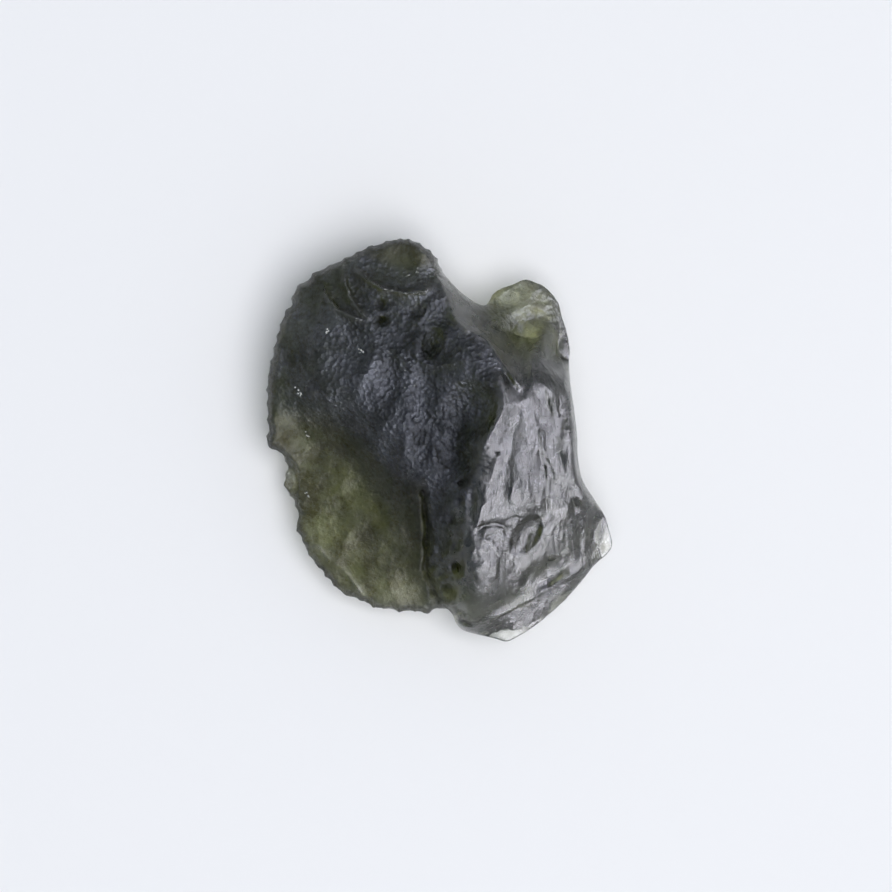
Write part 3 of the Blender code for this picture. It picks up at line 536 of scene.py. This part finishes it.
# Dust from dark to pale, and the sky from its light to its dark side: (position, colour)
DUST_COLOURS = ((0.0, (0.3, 0.31, 0.29, 1)), (1.0, (0.62, 0.63, 0.6, 1)))
SKY_COLOURS = (
    (0.0, (0.9, 0.95, 1.05, 1)),
    (0.3, (0.88, 0.94, 1.05, 1)),
    (0.6, (0.68, 0.78, 1.0, 1)),
    (0.79, (0.42, 0.5, 0.68, 1)),
    (0.93, (0.3, 0.33, 0.35, 1)),
    (1.0, (0.28, 0.3, 0.29, 1)),
)

# The dark side's tilt from upright, in degrees, and the share of the sky that matt surfaces lack
DARK_TILT = 38
DIFFUSE_DIMMING = 0.55

# Lamps: (name, place, size, radiance, colour). Only the stone's gloss sees the first kind.
STONE_LAMPS = (
    ("window", (0.225, 0.0, 0.17), (0.38, 0.7), 2.5, (0.88, 0.86, 1.0)),
    ("window_core", (0.25, 0.02, 0.12), (0.14, 0.4), 9.0, (0.91, 0.9, 1.0)),
    ("window_low", (0.13, -0.2, 0.12), (0.3, 0.2), 11.5, (0.94, 0.93, 1.0)),
    ("far_window", (-0.22, 0.06, 0.14), (0.3, 0.3), 1.5, (0.9, 0.93, 1.0)),
)
PAPER_LAMPS = (
    ("window_soft", (0.225, 0.0, 0.17), (0.38, 0.7), 0.4, (1, 1, 1)),
    ("ceiling", (0.07, -0.04, 0.36), (0.25, 0.25), 5.35, (1, 1, 1)),
)


def outline_curve():
    """The outline as a smooth closed curve of evenly spaced points, scaled to LENGTH and WIDTH."""
    knots = np.array(OUTLINE)
    before, start = np.roll(knots, 1, axis=0), knots
    end, after = np.roll(knots, -1, axis=0), np.roll(knots, -2, axis=0)
    dense = []
    for t in np.linspace(0, 1, CURVE_STEPS, endpoint=False):
        point = 2 * start + (end - before) * t
        point = point + (2 * before - 5 * start + 4 * end - after) * t**2
        point = point + (3 * start - before - 3 * end + after) * t**3
        dense.append(0.5 * point)
    dense = np.stack(dense, axis=1).reshape(-1, 3)
    steps = np.linalg.norm(np.diff(dense[:, :2], axis=0, append=dense[:1, :2]), axis=1)
    along = np.concatenate([[0], np.cumsum(steps)])
    stops = np.arange(round(along[-1] / RIM_STEP)) * along[-1] / round(along[-1] / RIM_STEP)
    closed = np.vstack([dense, dense[:1]])
    rim = np.stack([np.interp(stops, along, closed[:, i]) for i in range(3)], axis=1)
    low, high = rim[:, :2].min(0), rim[:, :2].max(0)
    rim[:, :2] = (rim[:, :2] - (low + high) / 2) * (WIDTH, LENGTH) / (high - low)
    return rim


def smooth_surface(landmarks, softness=0.6):
    """A function of (x, y) that passes through the landmarks' heights, by multiquadric interpolation."""
    places = np.array(landmarks)
    centres, heights = places[:, :2], places[:, 2]
    level = heights.mean()
    gaps = np.linalg.norm(centres[:, None] - centres[None], axis=2)
    weights = np.linalg.solve(np.hypot(gaps, softness), heights - level)

    def height(points):
        away = np.linalg.norm(points[:, None] - centres[None], axis=2)
        return level + np.hypot(away, softness) @ weights

    return height


def scoops(points, hollows):
    """How far the hollows sink the surface. Where two meet, the deeper one counts."""
    sunk = np.zeros(len(points))
    for x, y, half_length, half_width, turn, depth in hollows:
        angle = math.radians(turn)
        along = np.array((math.cos(angle), math.sin(angle)))
        across = np.array((-along[1], along[0]))
        away = points - (x, y)
        reach = (away @ along / half_length) ** 2 + (away @ across / half_width) ** 2
        sunk = np.maximum(sunk, depth * np.clip(1 - reach, 0, 1))
    return sunk


def scallops(points, size, depth, turn, stretch, seed, variety=0.3):
    """How far shallow pits of about one size sink the surface. They cover it, and meet in crisp edges."""
    angle = math.radians(turn)
    along = points @ (math.cos(angle), math.sin(angle)) / (size * stretch)
    across = points @ (-math.sin(angle), math.cos(angle)) / size
    random = np.random.default_rng(seed)
    middles = random.uniform(CELL_MARGIN, 1 - CELL_MARGIN, (PATTERN_CELLS, PATTERN_CELLS, 2))
    raised = random.uniform(0, variety, (PATTERN_CELLS, PATTERN_CELLS))
    column, row = np.floor(along).astype(int), np.floor(across).astype(int)
    nearest = np.full(len(points), np.inf)
    hops = range(-2, 3)
    for i, j in [(column + hop, row + jump) for hop in hops for jump in hops]:
        cell = i % PATTERN_CELLS, j % PATTERN_CELLS
        gap = (i + middles[cell][:, 0] - along) ** 2 + (j + middles[cell][:, 1] - across) ** 2
        nearest = np.minimum(nearest, gap + raised[cell])
    return depth * (0.5 - nearest)


def glossy_share(points):
    """0 over the weathered left and middle of the front, 1 over the glossy right."""
    edge = np.array(GLOSS_EDGE[::-1])
    beyond = points[:, 0] - np.interp(points[:, 1], edge[:, 1], edge[:, 0])
    return np.clip(beyond / GLOSS_BLEND + 0.5, 0, 1)


def distance_to_path(points, path, closed=False):
    """Each point's distance to a line through the path's points, and where on the path it is nearest."""
    path = np.array(path)[:, :2]
    ends = np.roll(path, -1, axis=0) if closed else path[1:]
    starts = path if closed else path[:-1]
    sides = ends - starts
    away = points[:, None] - starts[None]
    share = np.clip((away * sides).sum(2) / (sides**2).sum(1), 0, 1)
    gaps = np.linalg.norm(away - share[..., None] * sides, axis=2)
    nearest = gaps.argmin(1)
    rows = np.arange(len(points))
    return gaps[rows, nearest], nearest, share[rows, nearest]


def lines(points, strokes):
    """How far the lines raise the surface, or sink it: a tent with a rounded foot along each path."""
    moved = np.zeros(len(points))
    for size, half_width, path in strokes:
        gap, start, share = distance_to_path(points, path)
        runs = np.linalg.norm(np.diff(path, axis=0), axis=1)
        reached = np.append(0, np.cumsum(runs))
        along = reached[start] + share * runs[start]
        fade = min(LINE_FADE, FADED_SHARE * reached[-1])
        full = np.clip(np.minimum(along, reached[-1] - along) / fade, 0, 1)
        profile = np.clip(1 - gap / (LINE_FOOT * half_width), 0, 1) ** LINE_POWER
        moved = np.maximum(moved, size * full * profile)
    return moved


def chips(points, cuts):
    """The height that flat chips leave. Each falls away on one side of a straight crest."""
    limit = np.full(len(points), np.inf)
    for x, y, height, direction, slope in cuts:
        angle = math.radians(direction)
        beyond = (points - (x, y)) @ (math.cos(angle), math.sin(angle))
        limit = np.where(beyond > 0, np.minimum(limit, height - slope * beyond), limit)
    return limit


def rim_facts(points, rim):
    """Each point's distance to the rim, and the rim's height where it is nearest."""
    gap, start, share = distance_to_path(points, rim, closed=True)
    end = (start + 1) % len(rim)
    return gap, rim[start, 2] * (1 - share) + rim[end, 2] * share


def rounded(points, rim, surface, width):
    """The surface's heights, turned over to meet the rim in a rounded edge of that width."""
    gap, edge = rim_facts(points, rim)
    depth = np.clip(gap / width, 0, 1)
    return edge + (surface - edge) * np.sqrt(1 - (1 - depth) ** 2)


def front_heights(points, rim):
    """Heights of the front above the paper."""
    surface = smooth_surface(FRONT_LANDMARKS)(points)
    surface = surface - scoops(points, FRONT_SCOOPS) + lines(points, FRONT_RIDGES)
    surface -= lines(points, FRONT_GROOVES)
    glossy = glossy_share(points)
    surface -= (1 - glossy) * scallops(points, *WEATHERED_SCALLOPS, seed=11)
    surface -= glossy * scallops(points, *GLOSSY_SCALLOPS, seed=12)
    surface = np.minimum(surface, chips(points, FRONT_CHIPS))
    _, edge = rim_facts(points, rim)
    return rounded(points, rim, np.maximum(surface, edge + LEAST_STEP), RIM_ROUND)


def back_heights(points, rim):
    """Heights of the back above the paper."""
    surface = smooth_surface(BACK_LANDMARKS)(points)
    surface = surface + scoops(points, BACK_SCOOPS) + lines(points, BACK_GROOVES)
    surface += scallops(points, *BACK_SCALLOPS, seed=13)
    _, edge = rim_facts(points, rim)
    return rounded(points, rim, np.minimum(surface, edge - LEAST_STEP), BACK_ROUND)


def inside_outline(points, rim):
    """True for points inside the closed outline, by counting the sides that a ray to +X crosses."""
    x, y = points[:, :1], points[:, 1:2]
    x0, y0 = rim[:, 0], rim[:, 1]
    x1, y1 = np.roll(x0, -1), np.roll(y0, -1)
    spans = (y0 > y) != (y1 > y)
    crossing = x0 + (y - y0) * (x1 - x0) / np.where(y1 == y0, 1, y1 - y0)
    return (spans & (x < crossing)).sum(1) % 2 == 1


def inward_of(rim):
    """The direction into the stone at each point of the rim."""
    tangent = np.roll(rim[:, :2], -1, axis=0) - np.roll(rim[:, :2], 1, axis=0)
    inward = np.stack([-tangent[:, 1], tangent[:, 0]], axis=1)
    return inward / np.linalg.norm(inward, axis=1)[:, None]


def face_points(rim, step):
    """Points inside the outline: rings close to the rim, where the edge turns over, then an even grid."""
    inward = inward_of(rim)
    found = []
    for angle in RIM_RING_ANGLES:
        depth = RIM_ROUND * (1 - math.cos(math.radians(angle)))
        ring = rim[:, :2] + depth * inward
        gap = rim_facts(ring, rim)[0]
        found.append(ring[gap > RING_CLEARANCE * depth])
    row = step * math.sqrt(3) / 2
    across, up = np.arange(-WIDTH / 2, WIDTH / 2, step), np.arange(-LENGTH / 2, LENGTH / 2, row)
    grid = np.array([(x + (j % 2) * step / 2, y) for j, y in enumerate(up) for x in across])
    grid = grid[inside_outline(grid, rim)]
    found.append(grid[rim_facts(grid, rim)[0] > GRID_CLEARANCE * RIM_ROUND])
    return np.vstack(found)


def triangles_between(rim, inner):
    """Triangles of the flat region inside the rim, with corners numbered rim first and then inner."""
    places = [Vector(p) for p in np.vstack([rim[:, :2], inner])]
    outer = [list(range(len(rim)))]
    made = delaunay_2d_cdt(places, [], outer, 1, 1e-6)
    origin = [sources[0] for sources in made[3]]
    return [[origin[i] for i in face] for face in made[2]]


def below(value, start, width):
    """0 above the start, and 1 from that width further down."""
    return np.clip((start - value) / width, 0, 1)


def plate_share(points):
    """1 on the thin plate at the lower left, and 0 elsewhere."""
    x, y = points.T
    edge = np.array(STEP_EDGE)
    above = y - np.interp(x, edge[:, 0], edge[:, 1])
    plate = np.clip(0.5 - above / PLATE_BLEND, 0, 1)
    plate = plate * np.clip((PLATE_END - x) / PLATE_END_BLEND + 0.5, 0, 1)
    return plate * (1 - glossy_share(points))


def knob_share(points):
    """1 within three quarters of the knob's reach, and 0 from five quarters."""
    away = np.hypot(*((points - KNOB_MIDDLE) / KNOB_REACH).T)
    return np.clip(2 * (1.25 - away), 0, 1)


def pitted_share(points):
    """1 along the deeply pitted strip beside the groove, under the ridge's left side."""
    x, y = points.T
    across = np.abs((x - STRIP_MIDDLE) / STRIP_HALF_WIDTH)
    return np.clip(1.5 - across, 0, 1) * below(y, *STRIP_TOP)


def patch_share(points, patches, steepness=1.0):
    """1 inside the patches and 0 outside them."""
    return np.minimum(1, scoops(points, [patch + (steepness,) for patch in patches]))


def bent_wave(along, across, rate, bend, bend_rate, shift):
    """A wave along one axis, whose crests bend to and fro along the other."""
    return np.sin(rate * along + bend * np.sin(bend_rate * across) + shift)


def etching(points):
    """How strong the etching is. It comes and goes in patches."""
    x, y = points.T
    strength = ETCHING_MEAN
    for share, along_x, along_y in ETCHING_PATCHES:
        wave = bent_wave(x, y, *along_x) * bent_wave(y, x, *along_y)
        strength = strength + share * wave
    return strength


def painted_shade_share(points, gap):
    """Painted shade: 1 in the deep groove, the holes and round the left rim, where the glass looks darkest.
    """
    x, y = points.T
    deep = lines(points, [GROOVE_SHADE + (GROOVE_BOTTOM,)])
    deep = deep + PIT_SHADE * patch_share(points, [pit[:5] for pit in FINE_PITS])
    away = np.hypot(x - CHIP_MIDDLE[0], (y - CHIP_MIDDLE[1]) / CHIP_STRETCH)
    chipped = np.clip(2 - away / CHIP_RADIUS, 0, 1)
    round_rim = RIM_SHADE * below(x, *RIM_SHADE_FROM) * (1 - chipped)
    round_rim = round_rim * np.clip(1.4 - gap / RIM_SHADE_WIDTH, 0, 1)
    return np.clip(np.maximum(deep, round_rim), 0, 1)


def shine(points):
    """0 on the dull etched skin and 1 on the glossy ridge. Worn crests and the knob are in between."""
    glossy = glossy_share(points)
    worn = lines(points, [(1.0, WORN_WIDTH * half_width, path) for _, half_width, path in FINE_RIDGES])
    return glossy * (1 - KNOB_DULLING * knob_share(points)) + (1 - glossy) * worn


def bitten(rim):
    """The outline with small bites out of its thin left and lower edge."""
    along = np.cumsum(np.linalg.norm(np.roll(rim[:, :2], -1, axis=0) - rim[:, :2], axis=1))
    lips = np.cumsum(np.random.default_rng(5).uniform(*BITE_WIDTHS, BITES))
    near = np.sort(np.abs(along[:, None] - lips[None]), axis=1)[:, :2]
    hollow = np.clip(1 - (near[:, 0] / (0.5 * near.sum(1))) ** 2, 0, 1)
    out = rim.copy()
    out[:, :2] += (BITE_DEPTH * below(rim[:, 0], *BITES_FROM) * hollow)[:, None] * inward_of(rim)
    return out


def striations(points):
    """Fine upright flow lines on the glossy right. Each set is strongest in its middle."""
    x, y = points.T
    move = np.zeros(len(points))
    for depth, spacing, sway, middle, reach in STRIATIONS:
        wave = np.sin((x + sway * np.sin(SWAY_RATE * y)) * 2 * np.pi / spacing)
        away_x, away_y = (((points - middle) / reach) ** 2).T
        move += depth * wave * np.exp(-away_x - away_y)
    return move


def inner_share(gap):
    """How much of the fine relief is there at this distance from the rim."""
    return np.clip(gap / RELIEF_INSET, RIM_RELIEF, 1)


def front_fine(points, rim):
    """Heights of the front with its fine relief, which leaves the rim where it is."""
    height = front_heights(points, rim)
    glossy, plate = glossy_share(points), plate_share(points)
    weathered = np.clip(1 - glossy - plate, 0, 1)
    even = 1 - SMOOTHING * patch_share(points, SMOOTH_PATCHES, 2.0)
    move = np.zeros(len(points))
    for strength, layers, seed in (
        (etching(points) * even * weathered, WEATHERED_FINE, 21),
        (even * glossy, GLOSSY_FINE, 31),
        (even * plate, PLATE_FINE, 41),
        (even * knob_share(points), KNOB_FINE, 61),
        (even * pitted_share(points), PITTED_FINE, 71),
    ):
        for i, layer in enumerate(layers):
            move -= strength * scallops(points, *layer, seed=seed + i, variety=FINE_VARIETY)
    move -= scoops(points, FINE_PITS)
    move += lines(points, FINE_RIDGES) - lines(points, FINE_GROOVES)
    move += striations(points)
    gap, edge = rim_facts(points, rim)
    return np.maximum(height + move * inner_share(gap), np.minimum(height, edge + LEAST_FINE_STEP))


def back_fine(points, rim):
    """Heights of the back with its fine relief."""
    height = back_heights(points, rim)
    move = np.zeros(len(points))
    for i, layer in enumerate(BACK_FINE_SCALLOPS):
        move += scallops(points, *layer, seed=51 + i)
    gap, edge = rim_facts(points, rim)
    return np.minimum(height + move * inner_share(gap), np.maximum(height, edge - LEAST_FINE_STEP))


def pits_in_space(points, size, seed):
    """Like the scallops, but rounded pits in all three directions, for walls. The most is 0.5."""
    place = points / size
    random = np.random.default_rng(seed)
    cells = (WALL_CELLS, WALL_CELLS, WALL_CELLS)
    middles = random.uniform(CELL_MARGIN, 1 - CELL_MARGIN, cells + (3,))
    raised = random.uniform(0, WALL_VARIETY, cells)
    cell = np.floor(place).astype(int)
    nearest = np.full(len(points), np.inf)
    steps = (-1, 0, 1)
    for hop in [(i, j, k) for i in steps for j in steps for k in steps]:
        near = cell + hop
        i, j, k = (near % WALL_CELLS).T
        gap = ((near + middles[i, j, k] - place) ** 2).sum(1)
        nearest = np.minimum(nearest, gap + raised[i, j, k])
    return 0.5 - nearest


def roughen_walls(mesh, plan):
    """Moves the steep walls in and out, where relief that runs up and down can't show."""
    count = len(mesh.vertices)
    places, normals = np.empty(3 * count), np.empty(3 * count)
    mesh.vertices.foreach_get("co", places)
    mesh.vertex_normals.foreach_get("vector", normals)
    places, normals = places.reshape(-1, 3) / MM, normals.reshape(-1, 3)
    steep = below(np.abs(normals[:, 2]), *WALL_TILT)
    above_rest = np.clip((places[:, 2] - REST_CLEARANCE) / REST_BLEND, 0, 1)
    move = np.zeros(count)
    for i, (size, depth) in enumerate(WALL_PITS):
        move -= depth * pits_in_space(places, size, 81 + i)
    move *= steep * above_rest * (1 - WALL_SMOOTHING * shine(plan))
    places += move[:, None] * normals
    mesh.vertices.foreach_set("co", (places * MM).ravel())
    mesh.update()


def split_in_four(plan, side, faces, rim_count):
    """Splits each triangle at the middles of its sides. A side of the rim stays on the rim."""
    a, b, c = faces.T
    ends = np.concatenate([np.stack([a, b], 1), np.stack([b, c], 1), np.stack([c, a], 1)])
    edges, place = np.unique(np.sort(ends, axis=1), axis=0, return_inverse=True)
    ab, bc, ca = place.reshape(3, -1) + len(plan)
    middle = (plan[edges[:, 0]] + plan[edges[:, 1]]) / 2
    middle_side = np.maximum(side[edges[:, 0]], side[edges[:, 1]])
    hop = edges[:, 1] - edges[:, 0]
    chord = (middle_side == RIM) & (hop != 1) & (hop != rim_count - 1)
    middle_side[chord] = FRONT
    corners = ((a, ab, ca), (b, bc, ab), (c, ca, bc), (ab, bc, ca))
    faces = np.concatenate([np.stack(three, axis=1) for three in corners])
    return np.vstack([plan, middle]), np.concatenate([side, middle_side]), faces


def stone_plan(rim):
    """The mesh seen from above: its points, their sides and the triangles."""
    front_plan = face_points(rim, 2 * FRONT_FINE)
    back_plan = face_points(rim, 2 * BACK_FINE)
    plan = np.vstack([rim[:, :2], front_plan, back_plan])
    side = np.array([RIM] * len(rim) + [FRONT] * len(front_plan) + [BACK] * len(back_plan))
    faces = triangles_between(rim, front_plan)
    shift = len(front_plan)
    for a, b, c in triangles_between(rim, back_plan):
        faces.append([i if i < len(rim) else i + shift for i in (a, c, b)])
    return split_in_four(plan, side, np.array(faces), len(rim))


def stone_heights(plan, side, rim):
    """Each point's height, scaled to THICKNESS and cut flat at the paper."""
    height = np.zeros(len(plan))
    for which, rule in ((FRONT, front_fine), (BACK, back_fine)):
        for block in np.array_split(np.flatnonzero(side == which), BLOCKS):
            height[block] = rule(plan[block], rim)
    chosen = np.flatnonzero(side == RIM)
    height[chosen] = rim_facts(plan[chosen], rim)[1]
    return np.maximum(height * THICKNESS / height.max(), 0)


def add_skin_layers(mesh, plan, side, rim):
    """Stores how glossy and olive the skin is at each point, and where shade is painted into it."""
    gap = np.concatenate([rim_facts(block, rim)[0] for block in np.array_split(plan, BLOCKS)])
    olive = np.maximum(plate_share(plan), patch_share(plan, [OLIVE_PATCH], 1.5))
    for name, values in (
        ("gloss", shine(plan)),
        ("plate", olive * np.clip(gap / OLIVE_INSET - 0.3, 0, 1)),
        # painted shade in the groove, the pits and round the left rim
        ("painted_shade", painted_shade_share(plan, gap) * (side != BACK)),
    ):
        layer = mesh.attributes.new(name, "FLOAT", "POINT")
        layer.data.foreach_set("value", values.astype(np.float32))


def linked_object(name, data):
    made = bpy.data.objects.new(name, data)
    bpy.context.scene.collection.objects.link(made)
    return made


def stone_piece():
    rim = bitten(outline_curve())
    plan, side, faces = stone_plan(rim)
    height = stone_heights(plan, side, rim)
    mesh = bpy.data.meshes.new("stone")
    mesh.from_pydata((np.column_stack([plan, height]) * MM).tolist(), [], faces.tolist())
    mesh.shade_smooth()
    roughen_walls(mesh, plan)
    add_skin_layers(mesh, plan, side, rim)
    return linked_object("stone", mesh)


def dust_piece(stone):
    """Specks of dust where they lie on the front, and fine grains strewn over its weathered part."""
    random = np.random.default_rng(9)
    grains = []
    for x, y, radius in DUST * GRAINS_IN_SPECK:
        spread = random.normal(0, radius, 2)
        grains.append((x + spread[0], y + spread[1], GRAIN_SHARE * radius))
    grains.extend(random.uniform(*STREWN_RANGE, (STREWN_GRAINS, 3)))
    made = bmesh.new()
    for x, y, radius in grains:
        above = Vector((x * MM, y * MM, 2 * THICKNESS * MM))
        found, place, _, _ = stone.ray_cast(above, Vector((0, 0, -1)))
        if not found:
            continue
        grain = bmesh.ops.create_icosphere(made, subdivisions=1, radius=radius * MM)["verts"]
        for corner in grain:
            corner.co = corner.co * random.uniform(*GRAIN_SHAPES) + place
    mesh = bpy.data.meshes.new("dust")
    made.to_mesh(mesh)
    made.free()
    return linked_object("dust", mesh)


class Nodes:
    """Adds linked nodes to one material or world."""

    def __init__(self, owner):
        owner.use_nodes = True
        self.tree = owner.node_tree
        self.places = self.tree.nodes.new("ShaderNodeTexCoord").outputs

    def plug(self, value, socket):
        """Links the socket to another, or sets its value."""
        if isinstance(value, bpy.types.NodeSocket):
            self.tree.links.new(value, socket)
        else:
            socket.default_value = value

    def add(self, kind, output, inputs, **settings):
        """A new node's output of that name or number."""
        node = self.tree.nodes.new("ShaderNode" + kind)
        for name, value in settings.items():
            setattr(node, name, value)
        for name, value in inputs.items():
            self.plug(value, node.inputs[name])
        return node.outputs[output]

    def layer(self, name):
        return self.add("Attribute", "Fac", {}, attribute_name=name)

    def noise(self, scale, detail, roughness, place=None, output="Fac"):
        inputs = {"Scale": scale, "Detail": detail, "Roughness": roughness}
        inputs["Vector"] = place or self.places["Object"]
        return self.add("TexNoise", output, inputs)

    def ranged(self, value, low, high, to_low, to_high):
        inputs = {"Value": value, "From Min": low, "From Max": high, "To Min": to_low, "To Max": to_high}
        return self.add("MapRange", "Result", inputs)

    def between(self, share, first, second):
        return self.ranged(share, 0, 1, first, second)

    def maths(self, operation, *values):
        return self.add("Math", 0, dict(enumerate(values)), operation=operation)

    def vectors(self, operation, *values):
        return self.add("VectorMath", 0, dict(enumerate(values)), operation=operation)

    def mixed(self, share, first, second):
        inputs = {"Factor": share, "A": first, "B": second}
        return self.add("Mix", "Result", inputs, data_type="RGBA")

    def bumped(self, height, distance, strength, before=None):
        inputs = {"Height": height, "Distance": distance, "Strength": strength}
        if before is not None:
            inputs["Normal"] = before
        return self.add("Bump", 0, inputs)

    def ramped(self, value, stops):
        """A colour that changes with the value."""
        node = self.tree.nodes.new("ShaderNodeValToRGB")
        marks = node.color_ramp.elements
        marks[0].position, marks[0].color = stops[0]
        marks[1].position, marks[1].color = stops[-1]
        for position, colour in stops[1:-1]:
            marks.new(position).color = colour
        self.plug(value, node.inputs[0])
        return node.outputs[0]


def body_tint(make, gloss, painted_shade):
    """Brown mottling and painted shade in the skin. The body's own green is in its absorption."""
    mottle = make.ranged(make.noise(scale=900, detail=8, roughness=0.72), 0.44, 0.58, 0, 1)
    mottle = make.maths("MULTIPLY", mottle, make.between(gloss, 1.0, 0.4))
    return make.mixed(painted_shade, make.mixed(mottle, WHITE, BROWN), PAINTED_SHADE_BODY)


def sheen_tint(make, gloss, plate, painted_shade):
    """The weathered skin reflects in dull blotches, the glossy skin in full, and painted shade least."""
    dull, worn = make.mixed(plate, DULL, DULL_PLATE), make.mixed(plate, WORN, WORN_PLATE)
    blotches = make.ranged(make.noise(scale=800, detail=6, roughness=0.65), 0.36, 0.62, 0, 1)
    skin = make.mixed(gloss, make.mixed(blotches, worn, dull), WHITE)
    return make.mixed(painted_shade, skin, PAINTED_SHADE_SHEEN)


def skin_relief(make, gloss, plate):
    """Relief too fine for the mesh: etched pits, flow lines on the gloss, and a fine grain."""
    place = make.places["Object"]
    wander = make.noise(scale=2500, detail=3, roughness=0.55, output="Color")
    warped = make.vectors("MULTIPLY_ADD", wander, PIT_WANDER, place)
    pits = make.maths("POWER", make.add("TexVoronoi", "Distance", {"Scale": 6500, "Vector": warped}), 2)
    strength = make.maths("MULTIPLY", make.between(gloss, 1.0, 0.1), make.between(plate, 1.0, 0.35))
    etched = make.bumped(pits, 0.00007, strength)
    stretched = make.vectors("MULTIPLY", place, FLOW_STRETCH)
    flow = make.noise(scale=3200, detail=5, roughness=0.6, place=stretched)
    flowing = make.bumped(flow, 0.00009, make.ranged(gloss, 0.4, 1, 0, 1), etched)
    grain = make.noise(scale=14000, detail=6, roughness=0.6)
    return make.bumped(grain, 0.00003, make.between(gloss, 1.0, 0.3), flowing)


def glass():
    """See-through green glass: a dull etched skin on the left, a glossy one on the ridge."""
    material = bpy.data.materials.new("moldavite_glass")
    make = Nodes(material)
    shader, output = make.tree.nodes["Principled BSDF"], make.tree.nodes["Material Output"]
    shader.inputs["IOR"].default_value = 1.5
    shader.inputs["Transmission Weight"].default_value = 1.0
    gloss, plate = make.layer("gloss"), make.layer("plate")
    # Painted shade in the groove, the pits and round the left rim, uneven in strength
    uneven = make.ranged(make.noise(scale=2800, detail=4, roughness=0.6), 0.35, 0.6, 0.35, 1.1)
    painted_shade = make.maths("MULTIPLY", make.layer("painted_shade"), uneven)
    make.plug(body_tint(make, gloss, painted_shade), shader.inputs["Base Color"])
    make.plug(sheen_tint(make, gloss, plate, painted_shade), shader.inputs["Specular Tint"])
    patches = make.noise(scale=900, detail=5, roughness=0.6)
    patches = make.ranged(patches, 0.3, 0.7, -ROUGHNESS_SPREAD, ROUGHNESS_SPREAD)
    roughness = make.between(gloss, DULL_ROUGHNESS, GLOSSY_ROUGHNESS)
    make.plug(make.maths("ADD", roughness, patches), shader.inputs["Roughness"])
    make.plug(skin_relief(make, gloss, plate), shader.inputs["Normal"])
    absorbed = {"Color": (0.37, 0.4, 0.0, 1), "Density": 880}
    make.plug(make.add("VolumeAbsorption", 0, absorbed), output.inputs["Volume"])
    return material


def dust():
    """Pale mineral dust, a little uneven in colour."""
    material = bpy.data.materials.new("dust")
    make = Nodes(material)
    shader = make.tree.nodes["Principled BSDF"]
    shader.inputs["Roughness"].default_value = 0.9
    shader.inputs["Specular IOR Level"].default_value = 0.2
    grains = make.noise(scale=9000, detail=2, roughness=0.5)
    make.plug(make.ramped(grains, DUST_COLOURS), shader.inputs["Base Color"])
    return material


def paper():
    """The white paper that the stone lies on, without any gloss."""
    bpy.ops.mesh.primitive_plane_add(size=1.2)
    floor = bpy.context.object
    floor.name = "paper"
    material = bpy.data.materials.new("paper")
    material.use_nodes = True
    shader = material.node_tree.nodes["Principled BSDF"]
    shader.inputs["Base Color"].default_value = (0.9, 0.895, 0.895, 1)
    shader.inputs["Roughness"].default_value = 0.6
    shader.inputs["Specular IOR Level"].default_value = 0.0
    floor.data.materials.append(material)


def sky():
    """Light from all round, darkest up and to the left. Matt surfaces get less of it than the gloss."""
    world = bpy.data.worlds.new("sky")
    bpy.context.scene.world = world
    make = Nodes(world)
    background = make.tree.nodes["Background"]
    tilt = math.radians(DARK_TILT)
    dark_side = (-math.sin(tilt), 0.0, math.cos(tilt))
    towards = {0: make.places["Generated"], 1: dark_side}
    lean = make.add("VectorMath", "Value", towards, operation="DOT_PRODUCT")
    make.plug(make.ramped(lean, SKY_COLOURS), background.inputs["Color"])
    diffuse = make.add("LightPath", "Is Diffuse Ray", {})
    strength = make.maths("MULTIPLY_ADD", diffuse, -DIFFUSE_DIMMING, 1.0)
    make.plug(strength, background.inputs["Strength"])


def panel(name, at, size, radiance, colour, for_stone):
    """A rectangular lamp that faces the stone. Only gloss sees it, or else everything but gloss."""
    data = bpy.data.lights.new(name, "AREA")
    data.shape = "RECTANGLE"
    data.size, data.size_y = size
    data.energy = radiance * math.pi * size[0] * size[1]
    data.color = colour
    lamp = linked_object(name, data)
    lamp.location = at
    lamp.rotation_euler = (-Vector(at)).to_track_quat("-Z", "Y").to_euler()
    lamp.visible_camera = False
    lamp.visible_diffuse = not for_stone
    lamp.visible_glossy = for_stone
    lamp.visible_transmission = not for_stone


def camera():
    """Straight down, with a long lens. One pixel of the picture covers PIXEL metres at the stone's edge."""
    data = bpy.data.cameras.new("camera")
    data.lens = 180
    data.sensor_width = 36
    data.clip_start = 0.01
    eye = linked_object("camera", data)
    width = PICTURE_SIDE * PIXEL
    x = (PICTURE_SIDE / 2 - STONE_MIDDLE[0]) * PIXEL
    y = -(PICTURE_SIDE / 2 - STONE_MIDDLE[1]) * PIXEL
    eye.location = (x, y, width * data.lens / data.sensor_width + EDGE_HEIGHT)
    bpy.context.scene.camera = eye


stone = stone_piece()
stone.data.materials.append(glass())
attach(stone, "root")
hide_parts("moldavite")
specks = dust_piece(stone)
specks.data.materials.append(dust())
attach(specks, "root")
paper()
sky()
for lamp in STONE_LAMPS:
    panel(*lamp, for_stone=True)
for lamp in PAPER_LAMPS:
    panel(*lamp, for_stone=False)
camera()

bpy.context.scene.view_settings.view_transform = "Standard"
cycles = bpy.context.scene.cycles
cycles.max_bounces = 24
cycles.transmission_bounces = 20
cycles.diffuse_bounces = 6
cycles.glossy_bounces = 6
